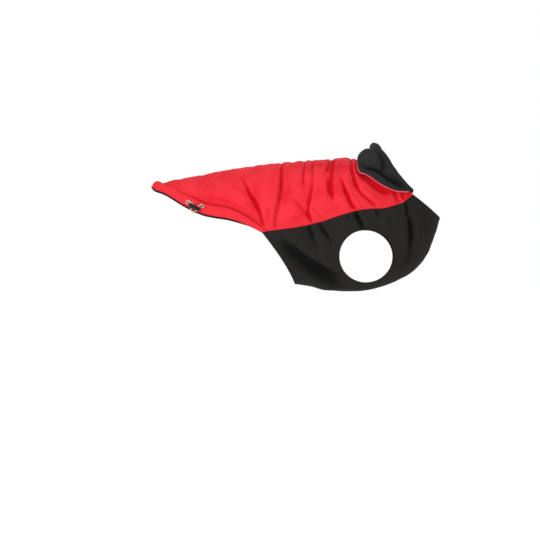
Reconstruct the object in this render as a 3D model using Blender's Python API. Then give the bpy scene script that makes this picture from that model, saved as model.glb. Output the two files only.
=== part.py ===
"""Dog jacket: padded red back, black chest panel with two armholes, turned-down collar.

The jacket keeps the hollow form of a general standing figure. +X points forward to the
neck, +Z up, and the right side is at -Y. The origin is on the inner face of the back over
the withers, where the wearer carries the jacket. Tables and sizes are in millimetres.
"""
import functools
import math

import bmesh
import bpy
import numpy as np
from mathutils import Matrix

MM = 0.001

# Rings of the figure that fills the jacket, from behind the tail end to the neck. Seen
# from the side, a ring is a line from its top point to its lowest one, bowed forward.
RINGS = np.array([
    # top_x  top_z  low_x   low_z  half_width  bow
    (-385.0, -53.0, -385.0, -205.0, 68.0, 0.0),
    (-300.0, -39.5, -300.0, -222.0, 77.0, 0.0),
    (-220.0, -24.5, -220.0, -231.0, 84.0, 0.0),
    (-130.0, -11.5, -130.0, -238.0, 90.0, 0.0),
    (-60.0, -5.0, -60.0, -248.0, 95.0, 0.0),
    (-15.0, -1.0, -20.0, -256.5, 97.0, 0.0),
    (0.0, 0.0, 30.0, -258.0, 98.0, 0.0),
    (14.0, 0.0, 72.0, -252.0, 98.0, 1.0),
    (25.0, -1.0, 112.0, -237.0, 96.0, 2.0),
    (33.0, -3.0, 147.0, -217.5, 92.0, 3.0),
    (39.0, -5.0, 170.0, -188.0, 86.0, 4.0),
    (43.0, -6.0, 185.5, -153.0, 78.0, 5.0),
    (47.0, -7.0, 197.5, -112.0, 69.0, 6.0),
])
EGG = 0.10           # how far a ring's widest place lies above its middle
SQUARE = 0.03        # how much fuller than an ellipse a ring's shoulders are

# Cloth walls, each as the height of its inner face over the figure and its thickness.
LINING_LIFT, LINING_THICK = 0.0, 1.0
SHELL_LIFT = 1.6                     # back panel and hem casing, over the lining
BACK_EDGE, BACK_PUFF = 3.0, 2.6      # padded back: thickness at its edges, and more inside
CASING_EDGE, CASING_PUFF = 2.4, 3.4
TAIL_PUFF = 2.2                      # how much higher the casing puffs at the tail
CHEST_LIFT, CHEST_THICK = 0.3, 2.2
COLLAR_THICK, COLLAR_TIP_THICK = 4.0, 1.6
SEAM_GAP = 0.36                      # between the faces of two pieces at a seam
PAD_FADE = 24.0                      # how far from its edge the padding reaches full loft

# Rear hem, right half, from the tail's middle forward: x, and the angle round the figure.
HEM = np.array([
    # x      degrees
    (-375.0, 0.0),
    (-373.5, 18.0),
    (-369.0, 28.0),
    (-356.0, 36.0),
    (-344.0, 43.5),
    (-320.0, 58.0),
    (-296.0, 68.5),
    (-272.0, 76.0),
    (-248.0, 80.0),
    (-224.0, 83.0),
    (-200.0, 87.5),
    (-176.0, 93.5),
    (-156.0, 99.0),
])
CASING_WIDTH, CASING_END_WIDTH = 21.0, 7.0
CASING_TAPER = 0.30          # the share of the half hem over which the casing narrows
LINING_SHOWS = 2.4           # how far the lining stands out past the hem at the tail

# Side seam between back and chest panel, seen from the side, after the hem's last row.
SEAM = np.array([
    # x     z
    (-80.0, -132.0),
    (-44.0, -124.0),
    (0.0, -110.0),
    (36.0, -100.0),
    (76.0, -96.5),
    (108.0, -90.0),
    (126.0, -83.0),
])
NECK_TIP_DEGREES = 104.0     # where the side seam meets the neckline

# Rear edge of the chest panel, from under the side seam to the belly's middle.
CHEST_REAR = np.array([
    # x      degrees
    (-140.0, 110.0),
    (-122.0, 123.5),
    (-108.0, 137.0),
    (-98.0, 151.0),
    (-92.5, 165.0),
    (-91.0, 180.0),
])
ARMHOLE_X, ARMHOLE_Z = 52.0, -190.0
ARMHOLE_HALF_X, ARMHOLE_HALF_Z = 54.0, 52.0

# Creases of the cloth, seen from the side: where each runs, how wide and how deep it is.
# A depth below zero is a ridge.
BACK_CREASES = np.array([
    # x0     z0     x1      z1    width  depth
    (-352.0, 10.0, -350.0, -62.0, 6.0, 1.6),
    (-314.0, 10.0, -306.0, -70.0, 8.0, 1.0),
    (-274.0, 10.0, -262.0, -50.0, 8.0, 1.2),
    (-210.0, 10.0, -188.0, -60.0, 8.0, 1.8),
    (-188.0, -60.0, -158.0, -128.0, 8.0, 2.2),
    (-156.0, 10.0, -150.0, -50.0, 8.0, 1.2),
    (-119.0, 10.0, -120.0, -60.0, 6.5, 2.2),
    (-120.0, -60.0, -128.0, -134.0, 6.5, 1.8),
    (-71.0, 10.0, -72.0, -62.0, 6.5, 2.2),
    (-56.0, -10.0, -60.0, -122.0, 6.5, 1.8),
    (-17.0, 10.0, -24.0, -34.0, 7.0, 2.2),
    (-10.0, -32.0, -14.0, -92.0, 7.0, 2.0),
    (30.0, 10.0, 36.0, -60.0, 8.0, 2.4),
    (36.0, -60.0, 68.0, -92.0, 8.0, 2.0),
])
CHEST_CREASES = np.array([
    # x0     z0      x1      z1    width  depth
    (-62.0, -134.0, -42.0, -174.0, 8.0, 2.4),
    (-44.0, -134.0, -18.0, -162.0, 8.0, 1.8),
    (-110.0, -142.0, -22.0, -212.0, 14.0, -2.4),
    (-90.0, -190.0, -24.0, -232.0, 14.0, 2.0),
    (40.0, -104.0, 50.0, -132.0, 8.0, 2.2),
    (76.0, -102.0, 80.0, -124.0, 7.0, 1.6),
    (138.0, -110.0, 140.0, -176.0, 9.0, 2.2),
    (117.0, -100.0, 118.0, -150.0, 9.0, -1.6),
    (155.0, -104.0, 153.0, -170.0, 9.0, -1.6),
])
LEFT_SHORTER, LEFT_SHIFT = 0.86, 5.0     # the same creases on the left side, unevenly

# Collar, right half, from the back's middle to the tip: the angle on the neckline, how
# high the stand is, the roll's radius, where the fall's edge lies, how far the fall bulges
# out over the edge, and how far it is pinched in under the roll.
COLLAR = np.array([
    # degrees stand roll edge_x edge_degrees bulge pinch
    (0.0, 47.5, 5.2, 34.0, 0.0, 6.0, 5.0),
    (20.0, 45.5, 5.2, 33.5, 16.0, 6.0, 4.5),
    (38.0, 39.5, 5.4, 33.5, 31.0, 5.5, 2.5),
    (50.0, 33.5, 5.8, 38.0, 41.0, 5.0, 0.8),
    (60.0, 27.0, 5.9, 51.0, 45.5, 5.0, 0.0),
    (70.0, 21.0, 5.6, 67.0, 55.0, 4.0, 0.0),
    (80.0, 15.0, 5.3, 86.0, 67.5, 3.0, 0.0),
    (90.0, 10.5, 4.9, 106.0, 80.0, 2.0, 0.0),
    (98.0, 7.5, 4.5, 121.0, 89.0, 1.0, 0.0),
    (103.0, 6.0, 4.1, 134.0, 97.0, 0.4, 0.0),
])
STAND_LEAN = 0.10            # how much the stand leans in towards the neck's middle
FALL_CLEAR = 1.2             # between the fall and the back panel
PINCH_AT, PINCH_WIDE = 0.29, 0.13    # where the fall is pinched, as shares of its length
PIPING_DIAMETER = 2.4
COLLAR_BASE_LIFT = 0.6       # from the neckline to the collar's lower edge

# Hem hardware on the right side, seen from the side.
LOCK_X, LOCK_Z = -289.5, -94.5
EYELETS = (("rear", -303.0, -83.4), ("front", -275.0, -91.0))
EYELET_OUTER, EYELET_BORE, EYELET_HIGH = 9.4, 4.8, 1.6
SEAT = 0.5                   # hard parts over the casing's crown
LOCK_SLOPE_DEGREES = 25.0
LOCK_LONG, LOCK_DEEP, LOCK_HIGH = 21.0, 8.6, 7.6
LOCK_BORE, LOCK_BORE_APART = 3.4, 12.6
BUTTON_LONG, BUTTON_DIAMETER = 4.0, 6.2
CORD_DIAMETER = 2.4
LOOP_DEEP = 5.0              # how far the cord's loop hangs below the lock

# Mesh divisions.
ACROSS, ALONG_HEM, ALONG_SEAM = 22, 17, 27
CASING_ACROSS = 4
LINING_ALONG, LINING_ACROSS = 30, 12
CHEST_NECK, CHEST_MIDDLE, CHEST_REAR_COUNT, CHEST_RINGS = 8, 17, 9, 7
COLLAR_HALF, STAND_STEPS, ROLL_STEPS, FALL_STEPS = 16, 3, 4, 7
CORD_STEPS = 28

RED, BLACK, FLEECE = (0.80, 0.03, 0.04), (0.022, 0.020, 0.019), (0.018, 0.018, 0.019)
PIPING_GREY, METAL, CORD_PALE = (0.45, 0.33, 0.33), (0.66, 0.55, 0.52), (0.62, 0.50, 0.45)


# ---- The figure ---------------------------------------------------------------------

def measured_stations():
    """Distance of each ring from the first, along the rings' middles."""
    middle = 0.5 * (RINGS[:, 0:2] + RINGS[:, 2:4])
    return np.concatenate([[0.0], np.cumsum(np.linalg.norm(np.diff(middle, axis=0), axis=1))])


STATIONS = measured_stations()
NECK = STATIONS[-1]


def cubic(knots_at, knots, at):
    """Values at `at` on the cubic through knots, with slopes from their neighbours."""
    at = np.asarray(at, float)
    slopes = np.gradient(knots, knots_at, axis=0)
    i = np.clip(np.searchsorted(knots_at, at) - 1, 0, len(knots_at) - 2)
    step = (knots_at[i + 1] - knots_at[i])[..., None]
    f = (at - knots_at[i])[..., None] / step
    return (knots[i] * (1 + 2 * f) * (1 - f) ** 2 + slopes[i] * step * f * (1 - f) ** 2
            + knots[i + 1] * f * f * (3 - 2 * f) + slopes[i + 1] * step * f * f * (f - 1))


def figure(s, angle):
    """Points on the figure at distance s and at an angle from the spine, right side first.

    Down a ring the share is (1 - cos) / 2; its half width follows sin, made fuller at the
    shoulders and wider above the middle.
    """
    s, angle = np.broadcast_arrays(np.asarray(s, float), np.asarray(angle, float))
    top_x, top_z, low_x, low_z, half, bow = np.moveaxis(cubic(STATIONS, RINGS, s), -1, 0)
    share = 0.5 * (1 - np.cos(angle))
    run_x, run_z = low_x - top_x, low_z - top_z
    reach = np.hypot(run_x, run_z)
    forward = 4 * bow * share * (1 - share)
    wide = (np.sin(angle) + SQUARE * np.sin(3 * angle)) * (1 + EGG * np.cos(angle))
    return np.stack([
        top_x + run_x * share - run_z / reach * forward,
        -half * wide / (1 - SQUARE),
        top_z + run_z * share + run_x / reach * forward,
    ], axis=-1)


def slopes_of(s, angle):
    """How the figure's point moves per millimetre of s and per radian of angle."""
    ds, da = 0.5, 0.004
    along = (figure(s + ds, angle) - figure(s - ds, angle)) / (2 * ds)
    around = (figure(s, angle + da) - figure(s, angle - da)) / (2 * da)
    return along, around


def unit(vectors):
    return vectors / np.linalg.norm(vectors, axis=-1, keepdims=True)


def outward(s, angle):
    along, around = slopes_of(s, angle)
    return unit(np.cross(around, along))


def lifted(s, angle, lift):
    """Points at a height over the figure."""
    lift = np.asarray(lift, float)
    return figure(s, angle) + outward(s, angle) * lift[..., None]


@functools.cache
def right_side_points(lift):
    """A coarse grid of (s, angle) over the right side, and its lifted points."""
    s_grid, a_grid = np.meshgrid(np.linspace(0, NECK, 120), np.linspace(0.05, 3.0, 60))
    return s_grid, a_grid, lifted(s_grid, a_grid, np.full(s_grid.shape, lift))


def locate(x, z, lift=0.0):
    """(s, angle) on the right side whose lifted point is seen at x, z from the side."""
    s_grid, a_grid, seen = right_side_points(lift)
    nearest = np.argmin(np.hypot(seen[..., 0] - x, seen[..., 2] - z))
    s, angle = s_grid.flat[nearest], a_grid.flat[nearest]
    for _ in range(8):
        here, ds, da = lifted(s, angle, lift), 0.5, 0.004
        by_s = (lifted(s + ds, angle, lift) - here) / ds
        by_a = (lifted(s, angle + da, lift) - here) / da
        jacobian = np.array([[by_s[0], by_a[0]], [by_s[2], by_a[2]]])
        step = np.linalg.solve(jacobian, [x - here[0], z - here[2]])
        s, angle = s + step[0], angle + step[1]
    return s, angle


def walk(points, heading, distance):
    """Moves (s, angle) points over the figure along 3-D headings by given distances."""
    moved = np.array(points, float)
    for _ in range(5):
        along, around = slopes_of(moved[:, 0], moved[:, 1])
        normal = unit(np.cross(around, along))
        flat = unit(heading - normal * np.sum(heading * normal, axis=1, keepdims=True))
        target = flat * (np.asarray(distance, float) / 5)[:, None]
        aa, ab, bb = (np.sum(p * q, axis=1) for p, q in
                      ((along, along), (along, around), (around, around)))
        ta, tb = np.sum(target * along, axis=1), np.sum(target * around, axis=1)
        det = aa * bb - ab * ab
        moved += np.stack([(ta * bb - tb * ab) / det, (tb * aa - ta * ab) / det], axis=1)
    return moved


def inset_loop(loop, distance):
    """Moves a closed (s, angle) loop to its left, as seen from outside, by distances."""
    s, angle = loop[:, 0], loop[:, 1]
    places = figure(s, angle)
    ahead = unit(np.roll(places, -1, axis=0) - places)
    tangent = unit(ahead + np.roll(ahead, 1, axis=0))
    heading = np.cross(outward(s, angle), tangent)
    return walk(loop, heading, np.broadcast_to(distance, len(loop)))


def spaced(knots, count):
    """Resamples (s, angle) knots into count + 1 points, evenly spaced on the figure."""
    knots = np.asarray(knots, float)
    chord = np.linalg.norm(np.diff(figure(knots[:, 0], knots[:, 1]), axis=0), axis=1)
    at = np.concatenate([[0.0], np.cumsum(chord)])
    fine = cubic(at, knots, np.linspace(0, at[-1], 400))
    length = np.linalg.norm(np.diff(figure(fine[:, 0], fine[:, 1]), axis=0), axis=1)
    run = np.concatenate([[0.0], np.cumsum(length)])
    want = np.linspace(0, run[-1], count + 1)
    return np.stack([np.interp(want, run, fine[:, k]) for k in (0, 1)], axis=1)


def mirrored(points):
    """The same (s, angle) points on the other side."""
    return points * np.array([1.0, -1.0])


# ---- Outlines -----------------------------------------------------------------------

def hem_knots():
    return np.array([(x - RINGS[0, 0], math.radians(degrees)) for x, degrees in HEM])


def seam_knots():
    """Side seam from the hem's last row to the neckline."""
    start = hem_knots()[-1]
    tip = (NECK, math.radians(NECK_TIP_DEGREES))
    return np.array([start, *(locate(x, z) for x, z in SEAM), tip])


def outlines():
    """Named (s, angle) curves of the right half, shared by the pieces that meet there."""
    half_count = ACROSS // 2 + ALONG_HEM
    hem = spaced(hem_knots(), half_count)
    seam = spaced(seam_knots(), ALONG_SEAM + 1)
    seam[1] = seam[0] + (seam[2] - seam[0]) * 0.5
    share = np.linspace(0, 1, half_count + 1)
    narrow = np.clip((share - 1 + CASING_TAPER) / CASING_TAPER, 0, 1)
    width = CASING_WIDTH + (CASING_END_WIDTH - CASING_WIDTH) * narrow ** 1.5
    places = figure(hem[:, 0], hem[:, 1])
    tangent = np.gradient(places, axis=0)
    stitch = walk(hem, np.cross(outward(hem[:, 0], hem[:, 1]), tangent), width)
    stitch[0, 1] = 0.0
    stitch[-1] = seam[1]
    return {"hem": hem, "stitch": stitch, "seam": seam}


def patch(rear, side, front):
    """Grid of (s, angle) between a rear edge, two like sides and a front edge.

    rear and front run from the right side to the left; side runs forward on the right.
    """
    u = np.linspace(0, 1, len(side))[:, None, None]
    v = np.linspace(0, 1, len(rear))[None, :, None]
    left = mirrored(side)
    corners = ((1 - u) * ((1 - v) * rear[0] + v * rear[-1])
               + u * ((1 - v) * front[0] + v * front[-1]))
    return ((1 - v) * side[:, None] + v * left[:, None]
            + (1 - u) * rear[None] + u * front[None] - corners)


def neck_edge(count):
    tip = math.radians(NECK_TIP_DEGREES)
    angles = np.linspace(tip, -tip, count + 1)
    return np.stack([np.full(count + 1, NECK), angles], axis=1)


def patch_from_loop(rear_half, side, inset):
    """Patch inside the loop of rear edge, sides and neckline, set in by distances.

    rear_half runs from the tail's middle to the rear corner, and inset gives the
    distances on the rear half, the side and the neckline.
    """
    across = 2 * (len(rear_half) - 1)
    neck = neck_edge(across)
    half = across // 2
    loop = np.concatenate([
        rear_half[:-1], side[:-1], neck[:half + 1],
        neck[half + 1:-1], mirrored(side)[::-1][:-1], mirrored(rear_half)[::-1][:-1],
    ])
    rear_in, side_in, neck_in = inset
    far = np.concatenate([
        rear_in[:-1], side_in[:-1], np.full(across, neck_in),
        side_in[::-1][:-1], rear_in[::-1][:-1],
    ])
    loop = inset_loop(loop, far)
    loop[0, 1] = 0.0
    at = len(rear_half) - 1
    new_rear_half = loop[:at + 1]
    new_side = loop[at:at + len(side)]
    new_neck = loop[at + len(side) - 1:at + len(side) + across]
    rear = np.concatenate([new_rear_half[::-1], mirrored(new_rear_half)[1:]])
    return patch(rear, new_side, new_neck)


# ---- Walls --------------------------------------------------------------------------

def grid_faces(rows, columns):
    """Quads of a grid whose points are numbered row by row."""
    first = (np.arange(rows - 1)[:, None] * columns + np.arange(columns - 1)).ravel()
    return np.stack([first, first + 1, first + columns + 1, first + columns], axis=1)


def add_object(name, points, faces, material, smooth=True):
    """A mesh object from points in millimetres, closed, with its faces pointing out."""
    mesh = bpy.data.meshes.new(name)
    mesh.from_pydata((np.asarray(points) * MM).tolist(), [], [list(map(int, f)) for f in faces])
    bm = bmesh.new()
    bm.from_mesh(mesh)
    bmesh.ops.recalc_face_normals(bm, faces=bm.faces)
    bm.to_mesh(mesh)
    bm.free()
    if smooth:
        mesh.shade_smooth()
        mesh.set_sharp_from_angle(angle=math.radians(50))
    made = bpy.data.objects.new(name, mesh)
    made.data.materials.append(material)
    bpy.context.scene.collection.objects.link(made)
    return made


def wall(name, inner, outer, quads, material):
    """A closed wall: an inner and an outer sheet of like quads, joined round each edge."""
    count = len(inner)
    edges = np.concatenate([quads[:, [k, (k + 1) % 4]] for k in range(4)])
    back = {(b, a) for a, b in edges.tolist()}
    rim = [(b, a, a + count, b + count) for a, b in edges.tolist() if (a, b) not in back]
    faces = (quads + count).tolist() + quads[:, ::-1].tolist() + rim
    return add_object(name, np.concatenate([inner, outer]), faces, material)


def crease_depth(places, creases):
    """How far creases press the cloth in at each point, by its distance from each line.

    On the left side each crease is shorter and a little farther forward or back.
    """
    seen = places[:, [0, 2]]
    on_left = places[:, 1] > 0
    depth = np.zeros(len(places))
    for k, (x0, z0, x1, z1, width, deep) in enumerate(creases):
        shift = LEFT_SHIFT * (1 if k % 2 else -1)
        for left, start, end in (
                (False, (x0, z0), (x1, z1)),
                (True, (x0, z0), (x0 + (x1 - x0) * LEFT_SHORTER + shift,
                                  z0 + (z1 - z0) * LEFT_SHORTER))):
            start, run = np.array(start), np.array(end) - np.array(start)
            share = np.clip((seen - start) @ run / (run @ run), 0, 1)
            apart = np.linalg.norm(seen - start - share[:, None] * run, axis=1)
            press = deep * np.exp(-(apart / width) ** 2)
            depth += np.where(on_left == left, press, 0.0)
    return depth


def edge_fade(places, edge_places, reach):
    """0 on the piece's edge, rising smoothly to 1 at a distance from it."""
    apart = np.full(len(places), np.inf)
    for place in edge_places:
        apart = np.minimum(apart, np.linalg.norm(places - place, axis=1))
    share = np.clip(apart / reach, 0, 1)
    return share * share * (3 - 2 * share)


def grid_edge(grid):
    return np.concatenate([grid[0], grid[-1], grid[1:-1, 0], grid[1:-1, -1]])


# ---- Cloth pieces -------------------------------------------------------------------

def back_panel(lines, material):
    corner = ACROSS // 2
    half_gap = SEAM_GAP / 2
    side = np.concatenate([lines["stitch"][corner:], lines["seam"][2:]])
    rear_half = lines["stitch"][:corner + 1]
    grid = patch_from_loop(rear_half, side, (
        np.full(len(rear_half), half_gap), np.full(len(side), half_gap), half_gap))
    s, angle = grid[..., 0].ravel(), grid[..., 1].ravel()
    places = figure(s, angle)
    loft = edge_fade(places, figure(*grid_edge(grid).T), PAD_FADE)
    press = crease_depth(places, BACK_CREASES) * loft
    thick = BACK_EDGE + BACK_PUFF * loft - press
    inner = lifted(s, angle, np.full(len(s), SHELL_LIFT))
    outer = lifted(s, angle, SHELL_LIFT + thick)
    wall("back_panel", inner, outer, grid_faces(*grid.shape[:2]), material)


def back_lining(lines, material):
    """Lining under back panel and casing; past the tail hem it stands out a little."""
    hem, seam = lines["hem"], lines["seam"]
    corner = ACROSS // 2
    rear_half = spaced(hem[:corner + 1], LINING_ACROSS // 2)
    side = spaced(np.concatenate([hem[corner:], seam[1:]]), LINING_ALONG)
    hem_share = (hem[-1, 0] - side[:, 0]) / (hem[-1, 0] - side[0, 0])
    shows = np.clip(hem_share / 0.35, 0, 1)
    grid = patch_from_loop(rear_half, side, (
        np.full(len(rear_half), -LINING_SHOWS),
        1.4 - (1.4 + LINING_SHOWS) * shows * shows * (3 - 2 * shows), 1.6))
    s, angle = grid[..., 0].ravel(), grid[..., 1].ravel()
    inner = lifted(s, angle, np.full(len(s), LINING_LIFT))
    outer = lifted(s, angle, np.full(len(s), LINING_LIFT + LINING_THICK))
    wall("back_lining", inner, outer, grid_faces(*grid.shape[:2]), material)


def rear_hem_casing(lines, material):
    """A puffed band along the rear hem that holds the elastic cord."""
    hem, stitch = lines["hem"], lines["stitch"]
    whole_hem = np.concatenate([hem[::-1], mirrored(hem)[1:]])
    whole_stitch = np.concatenate([stitch[::-1], mirrored(stitch)[1:]])
    loop = np.concatenate([whole_hem, whole_stitch[::-1]])
    loop = inset_loop(loop, -SEAM_GAP / 2)
    count = len(whole_hem)
    low, high = loop[:count], loop[count:][::-1]
    v = np.linspace(0, 1, CASING_ACROSS + 1)[None, :, None]
    grid = low[:, None] * (1 - v) + high[:, None] * v
    s, angle = grid[..., 0].ravel(), grid[..., 1].ravel()
    across = np.broadcast_to(v[..., 0], grid.shape[:2]).ravel()
    ends = np.minimum(np.arange(count), np.arange(count)[::-1])
    end_fade = np.clip(ends / 5, 0, 1)[:, None].repeat(CASING_ACROSS + 1, axis=1).ravel()
    puff = CASING_PUFF + TAIL_PUFF * np.exp(-(angle / 0.6) ** 2)
    thick = CASING_EDGE + puff * np.sin(np.pi * across) * (0.3 + 0.7 * end_fade)
    inner = lifted(s, angle, np.full(len(s), SHELL_LIFT))
    outer = lifted(s, angle, SHELL_LIFT + thick)
    wall("rear_hem_casing", inner, outer, grid_faces(*grid.shape[:2]), material)


def armhole_at(x, z):
    """The armhole's point, seen from the side, in the direction of x, z."""
    turn = math.atan2((z - ARMHOLE_Z) / ARMHOLE_HALF_Z, (x - ARMHOLE_X) / ARMHOLE_HALF_X)
    return locate(ARMHOLE_X + ARMHOLE_HALF_X * math.cos(turn),
                  ARMHOLE_Z + ARMHOLE_HALF_Z * math.sin(turn))


def chest_half(lines):
    """Rings of (s, angle) points of the right half, from the armhole to its outline.

    The outline runs from the rear corner along the seam, down the neckline, back along
    the middle of chest and belly and up the rear edge.
    """
    tip = lines["seam"][-1]
    neckline = np.stack([np.full(CHEST_NECK + 1, NECK),
                         np.linspace(tip[1], math.pi, CHEST_NECK + 1)], axis=1)
    rear_knots = [(x - RINGS[0, 0], math.radians(degrees)) for x, degrees in CHEST_REAR]
    rear = spaced([lines["seam"][0], *rear_knots], CHEST_REAR_COUNT)[::-1]
    middle = spaced([(NECK, math.pi), (0.5 * (NECK + rear[0, 0]), math.pi), rear[0]],
                    CHEST_MIDDLE)
    outline = np.concatenate([lines["seam"][:-1], neckline[:-1], middle[:-1], rear[:-1]])
    outline = inset_loop(outline, -SEAM_GAP / 2)
    on_middle = slice(len(lines["seam"]) + CHEST_NECK - 1,
                      len(lines["seam"]) + CHEST_NECK + CHEST_MIDDLE)
    outline[on_middle, 1] = math.pi
    seen = figure(outline[:, 0], outline[:, 1])
    armhole = np.array([armhole_at(x, z) for x, _, z in seen])
    out = np.linspace(0, 1, CHEST_RINGS + 1)[:, None, None]
    return armhole[None] * (1 - out) + outline[None] * out


def chest_panel(lines, material):
    rings = chest_half(lines)
    ring_count, around = rings.shape[:2]
    number = np.arange(ring_count * around).reshape(ring_count, around)
    nxt = np.roll(number, -1, axis=1)
    quads = np.stack([number[:-1], number[1:], nxt[1:], nxt[:-1]], axis=-1).reshape(-1, 4)
    right = rings.reshape(-1, 2)
    on_middle = np.isclose(right[:, 1], math.pi)
    left_number = np.where(on_middle, np.arange(len(right)),
                           len(right) + np.cumsum(~on_middle) - 1)
    points = np.concatenate([right, mirrored(right)[~on_middle]])
    quads = np.concatenate([quads, left_number[quads][:, ::-1]])
    s, angle = points[:, 0], points[:, 1]
    places = figure(s, angle)
    outer_ring = figure(*rings[-1].T)
    open_edge = outer_ring[np.abs(rings[-1][:, 1] - math.pi) > 1e-6]
    held = np.concatenate([open_edge, open_edge * (1, -1, 1), figure(*rings[0].T),
                           figure(*rings[0].T) * (1, -1, 1)])
    fold = -crease_depth(places, CHEST_CREASES) * edge_fade(places, held, 16.0)
    inner = lifted(s, angle, CHEST_LIFT + fold)
    outer = lifted(s, angle, CHEST_LIFT + CHEST_THICK + fold)
    wall("chest_panel", inner, outer, quads, material)


# ---- Collar -------------------------------------------------------------------------

def collar_rows():
    """Whole collar from right tip to left tip: the table's columns at each row."""
    half = cubic(np.arange(len(COLLAR)), COLLAR,
                 np.linspace(0, len(COLLAR) - 1, COLLAR_HALF + 1))
    left = half * np.array([-1, 1, 1, 1, -1, 1, 1])
    return np.concatenate([half[::-1], left[1:]])


def stand_direction(base):
    """The way the stand rises from the neckline: square to it, leaning in."""
    across = unit(figure(NECK, math.pi) - figure(NECK, 0.0))
    rise = np.array([-across[2], 0.0, across[0]])
    lean = np.array([0.0, -base[1], 0.0]) / RINGS[-1, 4]
    return unit(rise + STAND_LEAN * lean)


def fall_edge(x, degrees, lift):
    """A point of the fall's edge over the back panel, on the ring that it crosses there."""
    angle = math.radians(degrees)
    stations = np.linspace(0, NECK, 500)
    ring_x = figure(stations, np.full(500, angle))[:, 0]
    return lifted(np.interp(x, ring_x, stations), angle, lift)


def collar_section(row):
    """The wall's two lines at one row: up the stand, round the roll and down the fall."""
    degrees, height, radius, edge_x, edge_degrees, bulge, pinch = row
    share = height / COLLAR[0, 1]
    thick = COLLAR_TIP_THICK + (COLLAR_THICK - COLLAR_TIP_THICK) * min(1, 1.6 * share)
    back_top = SHELL_LIFT + BACK_EDGE + BACK_PUFF * min(1, 2 * share)
    base = figure(NECK, math.radians(degrees))
    edge = fall_edge(edge_x, edge_degrees, back_top + FALL_CLEAR + thick / 2)
    up = stand_direction(base)
    out = edge - base
    out = unit(out - up * (out @ up))
    base = base + up * COLLAR_BASE_LIFT - out * (thick / 2 + 0.1)
    edge_up, edge_out = (edge - base) @ up, (edge - base) @ out
    top = max(height - radius, 0.5 * height)
    stand = np.stack([np.linspace(0, top, STAND_STEPS + 1), np.zeros(STAND_STEPS + 1)], axis=1)
    turn = np.linspace(0, math.pi, ROLL_STEPS + 1)[1:]
    roll = np.stack([top + radius * np.sin(turn), radius * (1 - np.cos(turn))], axis=1)
    start, end = roll[-1], np.array([edge_up, edge_out])
    pull = np.linalg.norm(end - start)
    f = np.linspace(0, 1, FALL_STEPS + 1)[1:, None]
    first = start + np.array([-0.34 * pull, 0.0])
    second = start + (end - start) * 0.72 + np.array([0.6, 1.3]) * bulge
    fall = (start * (1 - f) ** 3 + 3 * first * f * (1 - f) ** 2
            + 3 * second * f * f * (1 - f) + end * f ** 3)
    fall[:, 1] -= pinch * np.exp(-((f[:, 0] - PINCH_AT) / PINCH_WIDE) ** 2)
    line = np.concatenate([stand, roll, fall])
    tangent = unit(np.gradient(line, axis=0))
    aside = np.stack([-tangent[:, 1], tangent[:, 0]], axis=1) * thick / 2
    frame = np.stack([up, out])
    return base + (line + aside) @ frame, base + (line - aside) @ frame


def collar(material):
    sections = [collar_section(row) for row in collar_rows()]
    one = np.array([section[0] for section in sections])
    other = np.array([section[1] for section in sections])
    quads = grid_faces(*one.shape[:2])
    wall("collar", one.reshape(-1, 3), other.reshape(-1, 3), quads, material)
    edge = 0.5 * (one[:, -1] + other[:, -1])
    onward = np.cross(np.gradient(edge, axis=0), one[:, -1] - other[:, -1])
    return list(zip(edge, unit(onward)))


def tube(name, points, diameter, material):
    """A closed round tube through points in millimetres."""
    curve = bpy.data.curves.new(name, "CURVE")
    curve.dimensions = "3D"
    curve.bevel_depth = diameter / 2 * MM
    curve.bevel_resolution = 2
    curve.use_fill_caps = True
    spline = curve.splines.new("POLY")
    spline.points.add(len(points) - 1)
    for point, (x, y, z) in zip(spline.points, points):
        point.co = (x * MM, y * MM, z * MM, 1.0)
    made = bpy.data.objects.new(name, curve)
    made.data.materials.append(material)
    bpy.context.scene.collection.objects.link(made)
    return made


def collar_piping(edge, material):
    """A thin round piping just past the fall's edge."""
    reach = PIPING_DIAMETER / 2 + SEAM_GAP
    tube("collar_piping", [place + onward * reach for place, onward in edge],
         PIPING_DIAMETER, material)


# ---- Hem hardware -------------------------------------------------------------------

def seat_frame(x, z):
    """Origin and axes on the casing's crown at x, z seen from the right side.

    The axes run along the hem, down over it, and out of the cloth.
    """
    crown = SHELL_LIFT + CASING_EDGE + CASING_PUFF
    s, angle = locate(x, z, crown)
    out = outward(s, angle)
    slope = math.radians(LOCK_SLOPE_DEGREES)
    along = np.array([math.cos(slope), 0.0, -math.sin(slope)])
    along = unit(along - out * (along @ out))
    return lifted(s, angle, crown), np.stack([along, np.cross(along, out), out])


def side_name(name, side):
    return f"{name}_{'right' if side > 0 else 'left'}"


def on_side(points, side):
    return np.asarray(points) * np.array([1.0, side, 1.0])


def eyelet(name, centre, axes, side, material):
    """A turned ring with a rounded lip, flat underneath."""
    outer, bore = EYELET_OUTER / 2, EYELET_BORE / 2
    middle = 0.5 * (outer + bore)
    profile = np.array([(bore, 0.0), (outer, 0.0), (outer - 0.5, 0.75 * EYELET_HIGH),
                        (middle, EYELET_HIGH), (bore, 0.8 * EYELET_HIGH)])
    turns = np.linspace(0, 2 * math.pi, 14, endpoint=False)
    ring = np.stack([
        profile[None, :, 0] * np.cos(turns)[:, None],
        profile[None, :, 0] * np.sin(turns)[:, None],
        np.broadcast_to(profile[:, 1] + SEAT, (len(turns), len(profile))),
    ], axis=-1)
    number = np.arange(ring.size // 3).reshape(ring.shape[:2])
    faces = np.stack([number, np.roll(number, -1, 0), np.roll(np.roll(number, -1, 0), -1, 1),
                      np.roll(number, -1, 1)], axis=-1).reshape(-1, 4)
    add_object(name, on_side(ring.reshape(-1, 3) @ axes + centre, side), faces, material)


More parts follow.
